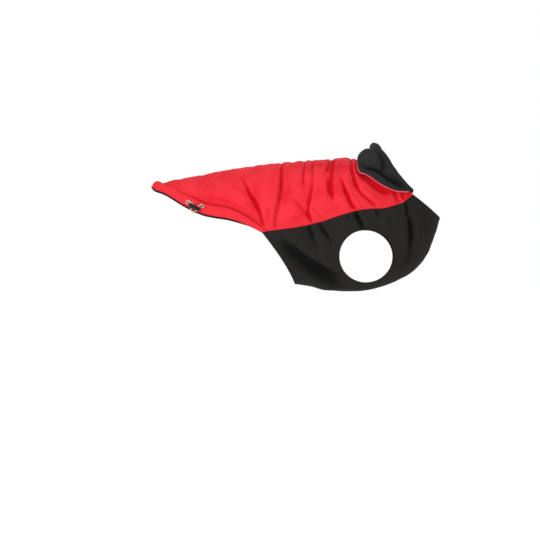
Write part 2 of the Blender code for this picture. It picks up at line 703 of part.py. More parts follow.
def box_mesh(name, half, bevel):
    """A box mesh of half sizes in millimetres with rounded edges."""
    mesh = bpy.data.meshes.new(name)
    bm = bmesh.new()
    bmesh.ops.create_cube(bm, size=2.0)
    bmesh.ops.scale(bm, vec=[h * MM for h in half], verts=bm.verts)
    if bevel:
        bmesh.ops.bevel(bm, geom=bm.edges, offset=bevel * MM, segments=2, profile=0.5,
                        affect="EDGES")
    bm.to_mesh(mesh)
    bm.free()
    return mesh


def cylinder_mesh(name, radius, half_long, sides):
    """A cylinder mesh along its own y axis, in millimetres."""
    mesh = bpy.data.meshes.new(name)
    bm = bmesh.new()
    bmesh.ops.create_cone(bm, cap_ends=True, segments=sides, radius1=radius * MM,
                          radius2=radius * MM, depth=2 * half_long * MM)
    bmesh.ops.rotate(bm, verts=bm.verts, matrix=Matrix.Rotation(math.pi / 2, 3, "X"))
    bm.to_mesh(mesh)
    bm.free()
    return mesh


def placed(name, mesh, centre, axes, side, material=None):
    """An object whose mesh points, in the frame's axes, are put in place in its mesh."""
    points = np.array([v.co[:] for v in mesh.vertices]) / MM
    faces = [list(p.vertices) for p in mesh.polygons]
    made = add_object(name, on_side(points @ axes + centre, side), faces, material)
    bpy.data.meshes.remove(mesh)
    return made


def cord_lock(side, centre, axes, body_material, button_material):
    """Lock body with two bores for the cord, and its push button at the front end."""
    high = SEAT + LOCK_HIGH / 2
    middle = centre + axes[2] * high - axes[0] * (BUTTON_LONG / 2)
    body = placed(side_name("cord_lock", side),
                  box_mesh("lock", (LOCK_LONG / 2, LOCK_DEEP / 2, LOCK_HIGH / 2), 2.2),
                  middle, axes, side, body_material)
    for k in (-1, 1):
        place = centre + axes[2] * high + axes[0] * (k * LOCK_BORE_APART / 2)
        drill = placed(f"drill_{side}_{k}",
                       cylinder_mesh("drill", LOCK_BORE / 2, LOCK_DEEP, 12),
                       place, axes, side, body_material)
        drill.hide_render = True
        drill.display_type = "WIRE"
        cut = body.modifiers.new(f"bore_{k}", "BOOLEAN")
        cut.operation, cut.solver, cut.object = "DIFFERENCE", "EXACT", drill
    button_axes = axes[[1, 0, 2]]
    reach = LOCK_LONG / 2 + BUTTON_LONG / 2 + SEAM_GAP
    placed(side_name("cord_lock_button", side),
           cylinder_mesh("button", BUTTON_DIAMETER / 2, BUTTON_LONG / 2, 14),
           middle + axes[0] * reach, button_axes, side, button_material)


def cord_route(centre, axes, rear, front):
    """The cord's own points: out of one eyelet, through the lock, round and back."""
    high = SEAT + LOCK_HIGH / 2
    bore, edge = LOCK_BORE_APART / 2, LOCK_DEEP / 2
    inside = [(-bore, -edge - 1.0, high), (-bore, 0.0, high), (-bore, edge + 0.6, high),
              (-0.55 * bore, edge + 0.85 * LOOP_DEEP, high), (0.0, edge + LOOP_DEEP, high),
              (0.55 * bore, edge + 0.85 * LOOP_DEEP, high), (bore, edge + 0.6, high),
              (bore, 0.0, high), (bore, -edge - 1.0, high)]
    middle = [centre + np.array(point) @ axes for point in inside]
    ends = []
    for (place, frame), first in ((rear, middle[0]), (front, middle[-1])):
        start = place + frame[2] * (SEAT + 0.1)
        rise = place + frame[2] * (SEAT + 2.6) + (first - place) * 0.06
        over = place * 0.62 + first * 0.38 + frame[2] * 2.2 - axes[1] * 1.2
        ends.append([start, rise, over])
    return np.array([*ends[0], *middle, *ends[1][::-1]])


def hem_hardware(materials):
    centre, axes = seat_frame(LOCK_X, LOCK_Z)
    seats = {name: seat_frame(x, z) for name, x, z in EYELETS}
    knots = cord_route(centre, axes, seats["rear"], seats["front"])
    chord = np.linalg.norm(np.diff(knots, axis=0), axis=1)
    at = np.concatenate([[0.0], np.cumsum(chord)])
    route = cubic(at, knots, np.linspace(0, at[-1], CORD_STEPS + 1))
    for side in (1, -1):
        for name, (place, frame) in seats.items():
            eyelet(side_name(f"hem_eyelet_{name}", side), place, frame, side,
                   materials["eyelet"])
        cord_lock(side, centre, axes, materials["lock"], materials["button"])
        tube(side_name("hem_cord", side), on_side(route, side), CORD_DIAMETER,
             materials["cord"])


def principled(name, colour, roughness, metallic=0.0):
    material = bpy.data.materials.new(name)
    material.use_nodes = True
    shader = material.node_tree.nodes["Principled BSDF"]
    shader.inputs["Base Color"].default_value = (*colour, 1.0)
    shader.inputs["Roughness"].default_value = roughness
    shader.inputs["Metallic"].default_value = metallic
    return material


def main():
    for old in list(bpy.data.objects):
        bpy.data.objects.remove(old, do_unlink=True)
    materials = {
        "shell": principled("red_padded_shell", RED, 0.55),
        "casing": principled("red_casing", RED, 0.55),
        "lining": principled("black_lining", FLEECE, 0.9),
        "chest": principled("black_soft_shell", BLACK, 0.8),
        "collar": principled("black_collar_face", FLEECE, 0.85),
        "piping": principled("grey_piping", PIPING_GREY, 0.5),
        "eyelet": principled("eyelet_metal", METAL, 0.3, 1.0),
        "lock": principled("black_lock_plastic", BLACK, 0.45),
        "button": principled("black_button_plastic", BLACK, 0.4),
        "cord": principled("pale_elastic_cord", CORD_PALE, 0.8),
    }
    lines = outlines()
    back_panel(lines, materials["shell"])
    back_lining(lines, materials["lining"])
    rear_hem_casing(lines, materials["casing"])
    chest_panel(lines, materials["chest"])
    collar_piping(collar(materials["collar"]), materials["piping"])
    hem_hardware(materials)


main()
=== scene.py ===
"""Looks of a dog jacket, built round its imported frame.

The jacket has a red padded back over a black fleece lining, a black soft-shell chest panel
with two armholes, a black turned-down collar with a pale piping, a red hem casing, and on
each side two eyelets, an elastic cord and a cord lock. Sizes are in millimetres as seen
from the right side: +X points forward to the neck, +Z up, and the right side is at -Y. A
spot on the cloth is (s, angle): the distance along the figure from its rear ring, and the
angle round it from the top middle line, positive on the right.
"""
import logging
import math
from dataclasses import dataclass
from enum import Enum
from functools import cached_property

import bpy
import numpy as np
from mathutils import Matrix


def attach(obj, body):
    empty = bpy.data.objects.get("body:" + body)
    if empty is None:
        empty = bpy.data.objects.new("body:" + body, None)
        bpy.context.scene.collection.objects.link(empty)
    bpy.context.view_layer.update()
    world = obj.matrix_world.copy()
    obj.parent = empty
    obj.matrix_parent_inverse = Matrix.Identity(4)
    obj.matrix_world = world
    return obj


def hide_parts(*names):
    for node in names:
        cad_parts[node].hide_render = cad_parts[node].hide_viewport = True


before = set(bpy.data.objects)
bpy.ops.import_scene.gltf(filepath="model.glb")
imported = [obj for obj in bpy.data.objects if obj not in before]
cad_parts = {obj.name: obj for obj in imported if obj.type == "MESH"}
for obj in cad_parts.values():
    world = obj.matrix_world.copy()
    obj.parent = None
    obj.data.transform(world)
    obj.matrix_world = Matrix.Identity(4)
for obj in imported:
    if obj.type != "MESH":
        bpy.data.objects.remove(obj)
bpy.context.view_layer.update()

Array = np.ndarray
Loop = tuple[Array, Array, Array]  # rear edge, right side forward, front from the right
LOG = logging.getLogger("dog_jacket")
MM = 0.001
BODY = "root"
NOISE_WAVES = 18
CHUNK = 1500  # points set against a line at a time
GIRTH_RADIUS = 90.0  # turns an angle into the weave's length round the figure


class Side(Enum):
    """A side of the jacket, with the sign that takes right-hand places to it."""

    RIGHT = 1
    LEFT = -1

    @property
    def word(self) -> str:
        """The side's name in lower case."""
        return self.name.lower()

    def put(self, places: Array) -> Array:
        """Right-hand places taken to this side."""
        return places * np.array([1, self.value, 1])


# ---- Plain maths --------------------------------------------------------------------

def unit(vectors: Array) -> Array:
    """Vectors scaled to length 1 along the last axis."""
    return vectors / np.linalg.norm(vectors, axis=-1, keepdims=True)


def dot(one: Array, other: Array) -> Array:
    """Dot products along the last axis."""
    return np.sum(one * other, axis=-1)


def smooth_step(share: Array) -> Array:
    """0 up to 1 with level ends: x * x * (3 - 2 x), with x kept between 0 and 1."""
    x = np.clip(share, 0.0, 1.0)
    return x * x * (3 - 2 * x)


def rounded(apart: Array, radius: Array | float) -> Array:
    """Share of the full height at a distance from an edge that is rounded by a radius."""
    return np.sqrt(1 - (1 - np.clip(apart / radius, 0, 1)) ** 2)


def cubic(knots_at: Array, knots: Array, at: Array) -> Array:
    """Values on the cubic through knots, with slopes taken from their neighbours.

    Args:
        knots_at: Rising parameter of each knot.
        knots: One row a knot.
        at: Parameters to read the curve at.

    Returns:
        One row for each parameter in at.
    """
    slopes = np.gradient(knots, knots_at, axis=0)
    i = np.clip(np.searchsorted(knots_at, at) - 1, 0, len(knots_at) - 2)
    step = (knots_at[i + 1] - knots_at[i])[..., None]
    f = (at - knots_at[i])[..., None] / step
    return (knots[i] * (1 + 2 * f) * (1 - f) ** 2 + slopes[i] * step * f * (1 - f) ** 2
            + knots[i + 1] * f * f * (3 - 2 * f) + slopes[i + 1] * step * f * f * (f - 1))


def run_of(places: Array) -> Array:
    """Length along a line of places, from 0 at its first one."""
    step = np.linalg.norm(np.diff(places, axis=0), axis=1)
    return np.concatenate([[0.0], np.cumsum(step)])


def read_at(at: Array, run: Array, rows: Array) -> Array:
    """Rows read off a line at lengths along it."""
    return np.stack([np.interp(at, run, column) for column in rows.T], axis=1)


def smooth_line(knots: Array, count: int) -> Array:
    """Count + 1 places on a smooth curve through knots."""
    at = run_of(knots)
    return cubic(at, knots, np.linspace(0, at[-1], count + 1))


def eased(line: Array, times: int) -> Array:
    """A line with its sharp turns eased.

    Each place moves to half of itself and a quarter of each neighbour, and the ends stay.

    Args:
        line: Places or spots, one a row.
        times: How often.

    Returns:
        The eased line.
    """
    line = np.array(line)
    for _ in range(times):
        line[1:-1] = 0.5 * line[1:-1] + 0.25 * (line[:-2] + line[2:])
    return line


def refined(count: int, length: float, first: tuple[float, ...]) -> Array:
    """Shares from 0 to 1, evenly spaced but for finer steps at both ends.

    Args:
        count: Number of even steps in the middle.
        length: What 1 stands for.
        first: Rising distances from each end that get a point of their own.

    Returns:
        Rising shares, 2 * len(first) + count + 1 of them.
    """
    near = np.array([0.0, *first[:-1]]) / length
    inner = np.linspace(first[-1] / length, 1 - first[-1] / length, count + 1)
    return np.concatenate([near, inner, 1 - near[::-1]])


def soft_noise(places: Array, *layers: tuple[float, float, int]) -> Array:
    """Smooth unevenness: each layer is a sum of sine waves in many directions.

    Args:
        places: Points, one a row.
        layers: Height, typical wave length and seed of each layer.

    Returns:
        One height a point.
    """
    total = np.zeros(len(places))
    for high, wave, seed in layers:
        rng = np.random.default_rng(seed)
        ways = unit(rng.normal(size=(NOISE_WAVES, 3))) * (2 * np.pi / wave)
        ways *= rng.uniform(0.65, 1.5, (NOISE_WAVES, 1))
        phase = rng.uniform(0, 2 * np.pi, NOISE_WAVES)
        waves = np.sin(places @ ways.T + phase).sum(axis=1)
        total += high * waves / math.sqrt(NOISE_WAVES / 2) / 1.6
    return total


def nearest(points: Array, line: Array) -> tuple[Array, Array]:
    """Distance from points to the nearest place of a dense line, and which one it is.

    Args:
        points: Points, one a row.
        line: Places, one a row.

    Returns:
        A distance and a place's number for each point.
    """
    apart, which = np.empty(len(points)), np.empty(len(points), int)
    for start in range(0, len(points), CHUNK):
        some = points[start:start + CHUNK]
        square = dot(some, some)[:, None] + dot(line, line) - 2 * some @ line.T
        which[start:start + CHUNK] = np.argmin(square, axis=1)
        apart[start:start + CHUNK] = np.sqrt(np.maximum(square.min(axis=1), 0.0))
    return apart, which


# ---- The form under the jacket ------------------------------------------------------

@dataclass(frozen=True)
class Figure:
    """The smooth form that the jacket is laid over."""

    rings: Array
    egg: float = 0.10  # how far a ring's widest place lies above its middle
    square: float = 0.03  # how much fuller than an ellipse a ring's shoulders are
    steps: tuple[float, float] = (0.5, 0.004)  # in s and angle, to take slopes over

    @cached_property
    def stations(self) -> Array:
        """Distance of each ring from the first, along the rings' middles."""
        return run_of(0.5 * (self.rings[:, 0:2] + self.rings[:, 2:4]))

    @property
    def neck(self) -> float:
        """Distance s of the neckline."""
        return float(self.stations[-1])

    def point(self, spots: Array) -> Array:
        """Places on the figure.

        Down a ring the share is (1 - cos) / 2, and its half width follows sin, made fuller
        at the shoulders and wider above the middle.

        Args:
            spots: (s, angle) along the last axis.

        Returns:
            Places, with a last axis of 3.
        """
        s, angle = np.moveaxis(spots, -1, 0)
        top_x, top_z, low_x, low_z, half, bow = np.moveaxis(
            cubic(self.stations, self.rings, s), -1, 0)
        share = 0.5 * (1 - np.cos(angle))
        run_x, run_z = low_x - top_x, low_z - top_z
        forward = 4 * bow * share * (1 - share) / np.hypot(run_x, run_z)
        wide = (np.sin(angle) + self.square * np.sin(3 * angle)) * (
            1 + self.egg * np.cos(angle))
        return np.stack([top_x + run_x * share - run_z * forward,
                         -half * wide / (1 - self.square),
                         top_z + run_z * share + run_x * forward], axis=-1)

    def slopes(self, spots: Array) -> Array:
        """How a place moves per millimetre of s and per radian of angle."""
        return np.stack([(self.point(spots + step) - self.point(spots - step))
                         / (2 * step.sum()) for step in np.diag(self.steps)])

    def outward(self, spots: Array) -> Array:
        """Unit vectors square to the figure, away from it."""
        along, around = self.slopes(spots)
        return unit(np.cross(around, along))

    def lifted(self, spots: Array, lift: Array | float) -> Array:
        """Places at a height over the figure."""
        return self.point(spots) + self.outward(spots) * np.asarray(lift)[..., None]

    @cached_property
    def coarse(self) -> tuple[Array, Array]:
        """A coarse grid over the right side.

        Returns:
            Its spots and their places.
        """
        s, angle = np.meshgrid(np.linspace(0, self.neck, 120), np.linspace(0.05, 3.0, 60))
        spots = np.stack([s.ravel(), angle.ravel()], axis=1)
        return spots, self.point(spots)

    def locate(self, seen: Array, lift: float = 0.0) -> Array:
        """Spots on the right side, found by Newton steps from a coarse grid.

        Args:
            seen: (x, z) rows as seen from the side.
            lift: Height over the figure.

        Returns:
            One (s, angle) row for each place seen.
        """
        grid, places = self.coarse
        off = places[:, [0, 2]] - np.asarray(seen, float)[:, None]
        spots = grid[np.argmin(np.hypot(off[..., 0], off[..., 1]), axis=1)]
        for _ in range(8):
            here = self.lifted(spots, lift)[:, [0, 2]]
            slopes = [(self.lifted(spots + step, lift)[:, [0, 2]] - here) / step.sum()
                      for step in np.diag(self.steps)]
            miss = (seen - here)[..., None]
            spots = spots + np.linalg.solve(np.stack(slopes, axis=2), miss)[..., 0]
        return spots

    def shifted(self, spots: Array, distance: Array | float, closed: bool = True) -> Array:
        """Moves a line of spots to its left, as seen from outside.

        The spots walk over the figure in five steps, square to the line.

        Args:
            spots: The line, one spot a row.
            distance: One distance, or one for each spot.
            closed: True where the line's last spot is followed by its first.

        Returns:
            The moved spots.
        """
        places = self.point(spots)
        tangent = unit(np.gradient(places, axis=0))
        if closed:
            ahead = unit(np.roll(places, -1, axis=0) - places)
            tangent = unit(ahead + np.roll(ahead, 1, axis=0))
        heading = np.cross(self.outward(spots), tangent)
        stride = (np.broadcast_to(distance, len(spots)) / 5)[:, None]
        for _ in range(5):
            along, around = self.slopes(spots)
            normal = unit(np.cross(around, along))
            step = unit(heading - normal * dot(heading, normal)[:, None]) * stride
            aa, ab, bb = dot(along, along), dot(along, around), dot(around, around)
            sa, sb = dot(step, along), dot(step, around)
            spots = spots + (np.stack([sa * bb - sb * ab, sb * aa - sa * ab])
                             / (aa * bb - ab * ab)).T
        return spots

    def run(self, spots: Array) -> Array:
        """Length over the figure along a line of spots."""
        return run_of(self.point(spots))

    def at_shares(self, spots: Array, shares: Array) -> Array:
        """Spots of a dense line at shares of its length."""
        run = self.run(spots)
        return read_at(shares * run[-1], run, spots)

    def spaced(self, knots: Array, count: int) -> Array:
        """Evenly spaced spots on the smooth curve through knots.

        Args:
            knots: (s, angle) rows.
            count: Number of steps.

        Returns:
            Count + 1 spots.
        """
        knots = np.asarray(knots, float)
        at = self.run(knots)
        fine = cubic(at, knots, np.linspace(0, at[-1], 900))
        return self.at_shares(fine, np.linspace(0, 1, count + 1))


FIGURE = Figure(np.array([
    # top_x  top_z  low_x   low_z  half_width  bow
    (-385.0, -53.0, -385.0, -205.0, 68.0, 0.0),
    (-300.0, -39.5, -300.0, -222.0, 77.0, 0.0),
    (-220.0, -24.5, -220.0, -231.0, 84.0, 0.0),
    (-130.0, -11.5, -130.0, -238.0, 90.0, 0.0),
    (-60.0, -5.0, -60.0, -248.0, 95.0, 0.0),
    (-15.0, -1.0, -20.0, -256.5, 97.0, 0.0),
    (0.0, 0.0, 30.0, -258.0, 98.0, 0.0),
    (14.0, 0.0, 72.0, -252.0, 98.0, 1.0),
    (25.0, -1.0, 112.0, -237.0, 96.0, 2.0),
    (33.0, -3.0, 147.0, -217.5, 92.0, 3.0),
    (39.0, -5.0, 170.0, -188.0, 86.0, 4.0),
    (43.0, -6.0, 185.5, -153.0, 78.0, 5.0),
    (47.0, -7.0, 197.5, -112.0, 69.0, 6.0),
]))


def mirrored(spots: Array) -> Array:
    """The same (s, angle) spots on the other side."""
    return spots * np.array([1.0, -1.0])


def knot_spots(knots: tuple[tuple[float, float], ...]) -> Array:
    """(x, degrees) knots as spots, where the rings stand upright."""
    return np.array([(x - FIGURE.rings[0, 0], math.radians(turn)) for x, turn in knots])


# ---- Creases ------------------------------------------------------------------------

@dataclass(frozen=True)
class Crease:
    """A soft trough in the cloth, or a ridge where its depth is below 0."""

    path: tuple[tuple[float, float, float], ...]  # (x, z, depth) knots seen from the side
    width: float = 6.0  # distance at which the trough has lost most of its depth
    lip: float = 0.25  # height of the ridge beside it, as a share of its depth
    lip_side: int = 0  # 1 where that is on the path's left, -1 on its right, 0 on both

    def on_left(self, number: int) -> Array:
        """Knots of the like crease on the left side, shorter and moved unevenly.

        Args:
            number: The crease's number in its table.

        Returns:
            x, z, depth rows.
        """
        knots = np.array(self.path)
        shift = (5.0, -4.0, 8.0)[number % 3] * np.linspace(0, 1, len(knots)) ** 0.7
        knots[:, 0] += shift
        knots[:, 1] = knots[0, 1] + (knots[:, 1] - knots[0, 1]) * (0.9, 0.96, 0.84)[number % 3]
        knots[:, 2] *= (1.0, 0.85, 1.1)[number % 3]
        return knots

    def height(self, seen: Array, knots: Array) -> Array:
        """How far the crease lifts the cloth; below 0 in the trough.

        At distance d from the path, with r = d / width, the trough is a sharp fold in a soft
        valley: -depth * (0.62 exp(-(1.5 r) ** 2) + 0.38 exp(-(0.7 r) ** 2)). The fold is
        steeper by 1.5 times on the lip's side, and the lip is
        lip * depth * exp(-((r - 1.4) / 0.75) ** 2).

        Args:
            seen: Points as x, z rows.
            knots: The path as x, z, depth rows.

        Returns:
            One height a point.
        """
        line = smooth_line(knots, 6 * (len(knots) - 1))
        result = np.zeros(len(seen))
        margin = 4.5 * self.width
        low, high = line[:, :2].min(axis=0) - margin, line[:, :2].max(axis=0) + margin
        near = np.nonzero(((seen > low) & (seen < high)).all(axis=1))[0]
        run = np.diff(line[:, :2], axis=0)
        off = seen[near, None] - line[:-1, :2]
        share = np.clip(dot(off, run) / dot(run, run), 0, 1)
        apart = np.linalg.norm(off - share[..., None] * run, axis=2)
        best = np.argmin(apart, axis=1)
        rows = np.arange(len(near))
        r, f = apart[rows, best] / self.width, share[rows, best]
        depth = line[best, 2] * (1 - f) + line[best + 1, 2] * f
        side = np.sign(run[best, 0] * off[rows, best, 1] - run[best, 1] * off[rows, best, 0])
        lipped = (side == self.lip_side) | (self.lip_side == 0)
        steep = np.where(lipped & (self.lip_side != 0), 2.25, 1.5)
        result[near] = depth * (self.lip * lipped * np.exp(-((r - 1.4) / 0.75) ** 2)
                                - 0.62 * np.exp(-(r * steep) ** 2)
                                - 0.38 * np.exp(-(r * 0.7) ** 2))
        return result


def crease_height(places: Array, creases: tuple[Crease, ...]) -> Array:
    """Sum of all creases' heights.

    Each side has its own version of every crease, and the two blend over the top.

    Args:
        places: Points on the figure.
        creases: The creases.

    Returns:
        One height a point.
    """
    seen, share = places[:, [0, 2]], smooth_step(places[:, 1] / 50.0 + 0.5)
    total = np.zeros(len(places))
    for number, crease in enumerate(creases):
        for weight, knots in ((1 - share, np.array(crease.path)),
                              (share, crease.on_left(number))):
            some = weight > 0
            total[some] += weight[some] * crease.height(seen[some], knots)
    return total


BACK_CREASES = (
    # The strong slanting crease at mid back, from the top down to the side seam.
    Crease(((-195, 12, 1.4), (-197, -16, 1.2), (-197, -36, 1.2), (-189, -48, 2.8),
            (-180, -67, 5.2), (-168, -85, 6.6), (-160, -102, 6.0), (-153, -129, 4.4)),
           5.6, 0.34, 1),
    # The upright creases in front of it.
    Crease(((-117, 12, 3.0), (-117, -10, 4.2), (-117, -36, 5.4), (-117, -55, 5.0),
            (-120, -73, 3.8), (-124, -94, 3.6), (-128, -112, 3.4), (-130, -134, 2.8)),
           4.0, 0.45, -1),
    Crease(((-72, 12, 1.4), (-71, -21, 4.0), (-73, -40, 4.4), (-72, -54, 2.2),
            (-71, -62, 0.0)), 3.8, 0.4, 1),
    Crease(((-54, 10, 1.4), (-55, -21, 3.4), (-54, -44, 3.4), (-57, -65, 3.8),
            (-62, -88, 5.2), (-63, -104, 5.6), (-56, -126, 4.2)), 4.8, 0.35, 1),
    # The short sharp pair at the top, behind the collar.
    Crease(((-12, 10, 3.4), (-15, 2, 4.6), (-22, -12, 5.8), (-28, -28, 3.4),
            (-32, -38, 0.0)), 4.0, 0.45, -1),
    Crease(((-10, 2, 0.6), (-13, -8, 1.8), (-16, -31, 4.4), (-18, -54, 5.4),
            (-15, -73, 4.2), (-14, -84, 0.0)), 5.8, 0.34, 1),
    Crease(((-24, -36, 0.0), (-24, -46, 2.8), (-23, -62, 2.8), (-22, -76, 0.0)), 3.8, 0.2),
    # The long creases that run forward and down under the collar.
    Crease(((0, -30, 0.6), (5, -48, 4.6), (13, -69, 6.4), (22, -88, 6.4), (33, -101, 4.6)),
           5.8, 0.38, 1),
    Crease(((23, 14, 2.4), (22, -15, 5.4), (26, -35, 5.4), (32, -54, 5.4), (38, -65, 5.8),
            (51, -77, 5.0), (67, -89, 3.6)), 5.4, 0.38, 1),
    Crease(((31, 10, 2.4), (31, -8, 4.0), (33, -22, 3.4), (38, -34, 1.4)), 4.4, 0.2),
    # The deep fold under the collar's edge, and dents at the neck tip.
    Crease(((36, -20, 2.6), (41, -32, 5.6), (54, -40, 7.0), (66, -51, 8.0), (83, -62, 7.0),
            (99, -68, 1.6)), 9.0, 0.1),
    Crease(((104, -62, 3.4), (108, -72, 3.8), (113, -84, 2.6)), 5.0, 0.3),
    Crease(((119, -66, 2.8), (123, -73, 3.2), (127, -80, 2.0)), 4.0, 0.3),
    # Faint fans above the side seam.
    Crease(((-98, -70, 0.0), (-88, -83, 1.9), (-76, -97, 2.6), (-64, -111, 1.9)), 6.0, 0.3),
    Crease(((-54, -86, 0.6), (-43, -107, 2.2), (-33, -118, 1.9)), 5.4, 0.3),
    Crease(((-142, -78, 0.0), (-141, -100, 1.9), (-145, -128, 1.7)), 6.5, 0.3),
    Crease(((-100, -40, 0.0), (-99, -62, 1.2), (-104, -90, 0.0)), 7.0, 0.3),
    # Faint folds at the rear, and the long one above the casing.
    Crease(((-276, 2, 1.4), (-270, -30, 1.6), (-260, -42, 1.9), (-247, -56, 1.4),
            (-240, -66, 0.0)), 5.6, 0.5, 1),
    Crease(((-236, -30, 0.0), (-230, -50, 1.1), (-222, -70, 0.0)), 8.0, 0.3),
    Crease(((-300, -62, 0.0), (-262, -74, 1.4), (-226, -82, 1.9), (-192, -96, 1.4),
            (-176, -106, 0.0)), 6.0, 0.3, 1),
    # Scallops across the top.
    Crease(((-352, 10, 4.0), (-350, -46, 3.8), (-346, -62, 0.0)), 6.0, 0.3),
    Crease(((-320, 10, 2.2), (-321, -38, 2.0), (-316, -66, 0.0)), 7.0, 0.3),
    Crease(((-274, 10, 3.4), (-273, -30, 2.8), (-270, -48, 0.0)), 6.0, 0.3),
    Crease(((-236, 10, 1.0), (-238, -20, 0.9), (-238, -34, 0.0)), 7.0, 0.3),
    Crease(((-176, 10, 2.6), (-176, -12, 2.0), (-174, -34, 0.0)), 8.0, 0.2),
    Crease(((-150, 10, 2.0), (-150, -12, 1.6), (-148, -32, 0.0)), 6.0, 0.2),
    Crease(((-127, 10, 3.6), (-127, -10, 2.8), (-126, -26, 0.0)), 6.0, 0.2),
    Crease(((-94, 10, 4.6), (-95, -10, 3.2), (-97, -30, 0.0)), 7.5, 0.2),
    Crease(((-45, 12, 2.0), (-45, -8, 1.6), (-47, -26, 0.0)), 7.0, 0.1),
    Crease(((-1, 12, 1.8), (-1, -8, 1.4), (0, -24, 0.0)), 7.0, 0.1),
    Crease(((-30, 12, 3.4), (-30, -8, 2.8), (-32, -30, 0.0)), 24.0, 0.0),
)

CHEST_CREASES = (
    Crease(((-64, -122, 3.2), (-61, -136, 5.0), (-56, -152, 5.6), (-49, -168, 5.0),
            (-43, -182, 2.0), (-40, -190, 0.0)), 7.2, 0.25, 1),
    Crease(((-50, -142, 0.0), (-45, -152, 2.0), (-40, -166, 1.2), (-36, -176, 0.0)), 5.0, 0.3),
    Crease(((-46, -120, 2.6), (-34, -138, 4.6), (-22, -156, 3.6), (-12, -167, 0.0)),
           6.5, 0.35, 1),
    # The broad slanting ridge and the trough under it.
    Crease(((-122, -130, 0.0), (-106, -141, -5.0), (-80, -162, -8.6), (-56, -184, -8.8),
            (-30, -200, -6.0), (-6, -214, -2.0)), 16.0, 0.0),
    Crease(((-124, -150, 1.0), (-98, -172, 6.0), (-70, -194, 9.0), (-44, -212, 9.4),
            (-18, -226, 5.0), (-2, -235, 2.0), (10, -242, 0.0)), 23.0, 0.15),
    # Short creases under the side seam, and the upright ones of the front.
    Crease(((28, -96, 4.0), (33, -110, 6.6), (40, -124, 6.0), (46, -137, 3.6)), 6.6, 0.35, 1),
    Crease(((14, -98, 0.8), (15, -112, 1.6), (16, -126, 0.0)), 5.0, 0.3),
    Crease(((70, -96, 2.6), (73, -106, 3.6), (78, -120, 0.6)), 4.2, 0.3),
    Crease(((128, -82, 3.6), (131, -92, 5.2), (132, -106, 3.0), (133, -116, 0.0)), 4.6, 0.3),
    Crease(((136, -102, 1.0), (138, -120, 5.0), (140, -146, 6.6), (138, -172, 4.0),
            (130, -200, 0.0)), 8.0, 0.4),
    Crease(((150, -106, 0.0), (155, -124, -3.6), (157, -150, -4.6), (152, -182, -2.4),
            (144, -204, 0.0)), 8.0, 0.0),
    Crease(((118, -104, 0.0), (122, -124, -2.6), (124, -146, -3.0), (120, -168, 0.0)),
           8.0, 0.0),
    Crease(((96, -100, 0.6), (97, -120, 1.4), (100, -140, 0.8), (104, -156, 0.0)), 6.0, 0.3),
    Crease(((166, -106, 0.6), (168, -130, 1.6), (164, -160, 1.2), (156, -186, 0.0)),
           7.0, 0.3),
    Crease(((110, -214, 0.0), (124, -204, 1.6), (140, -190, 1.6), (150, -176, 0.0)),
           8.0, 0.3),
    Crease(((-112, -150, 0.6), (-106, -172, 1.2), (-96, -196, 1.0), (-84, -222, 0.0)),
           7.0, 0.3),
    Crease(((-40, -236, 0.6), (-14, -243, 1.6), (14, -247, 0.6)), 7.0, 0.2),
)

COLLAR_CREASES = (
    # The valley from the pinch under the roll to the front, and its flare.
    Crease(((43, -9, 2.4), (50, -15, 4.4), (64, -18, 5.6), (80, -28, 6.4), (97, -40, 5.6),
            (114, -50, 4.0), (132, -58, 1.0)), 7.0, 0.45, -1),
    Crease(((70, 22, 1.0), (77, 12, 3.0), (82, 0, 4.0), (84, -12, 3.6), (80, -24, 1.0)),
           8.5, 0.3, -1),
    Crease(((46, 20, 0.0), (54, 12, -1.6), (60, 2, -2.4), (62, -8, -1.0)), 11.0, 0.0),
    Crease(((40, -4, 0.0), (38, -12, 1.6), (40, -22, 2.0), (46, -28, 0.0)), 4.0, 0.2),
    Crease(((96, -20, 0.0), (106, -34, 2.0), (118, -44, 2.6), (130, -52, 0.0)), 5.5, 0.3, 1),
)


# ---- Meshes -------------------------------------------------------------------------

def grid_quads(rows: int, columns: int, wrap: tuple[bool, bool] = (False, False)) -> Array:
    """Quads of a grid whose points are numbered row by row.

    Args:
        rows: Number of rows.
        columns: Number of columns.
        wrap: True where the last row joins the first, and the same for columns.

    Returns:
        One row of four point numbers a quad.
    """
    number = np.arange(rows * columns).reshape(rows, columns)
    number = np.pad(number, ((0, wrap[0]), (0, wrap[1])), mode="wrap")
    return np.stack([number[:-1, :-1], number[:-1, 1:], number[1:, 1:], number[1:, :-1]],
                    axis=-1).reshape(-1, 4)


def add_mesh(name: str, points: Array, quads: Array, uv: Array | None = None,
             shade: Array | None = None, closed: bool = True) -> bpy.types.Object:
    """A smooth mesh object from points in millimetres.

    Args:
        name: The object's name.
        points: One row a point.
        quads: One row of point numbers a face; a triangle repeats its last number.
        uv: A texture coordinate for each point, in metres.
        shade: Painted shade for each point, from 0 to 1, which darkens its colour.
        closed: True for a closed shell, whose faces are turned so that its volume is
            positive and they point out.

    Returns:
        The new object, linked to the scene.
    """
    a, b, c, d = (points[quads[:, k]] for k in range(4))
    if closed and np.sum(a * (np.cross(b, c) + np.cross(c, d))) < 0:
        quads = quads[:, ::-1]
    mesh = bpy.data.meshes.new(name)
    mesh.from_pydata((points * MM).tolist(), [],
                     [list(dict.fromkeys(quad)) for quad in quads.tolist()])
    mesh.polygons.foreach_set("use_smooth", np.ones(len(mesh.polygons), bool))
    if uv is not None:
        corner = np.empty(len(mesh.loops), int)
        mesh.loops.foreach_get("vertex_index", corner)
        layer = mesh.uv_layers.new(name="UVMap")
        layer.data.foreach_set("uv", np.asarray(uv, np.float32)[corner].ravel())
    if shade is not None:
        layer = mesh.attributes.new("shade", "FLOAT", "POINT")
        layer.data.foreach_set("value", np.asarray(shade, np.float32))
    mesh.update()
    return linked(name, mesh)


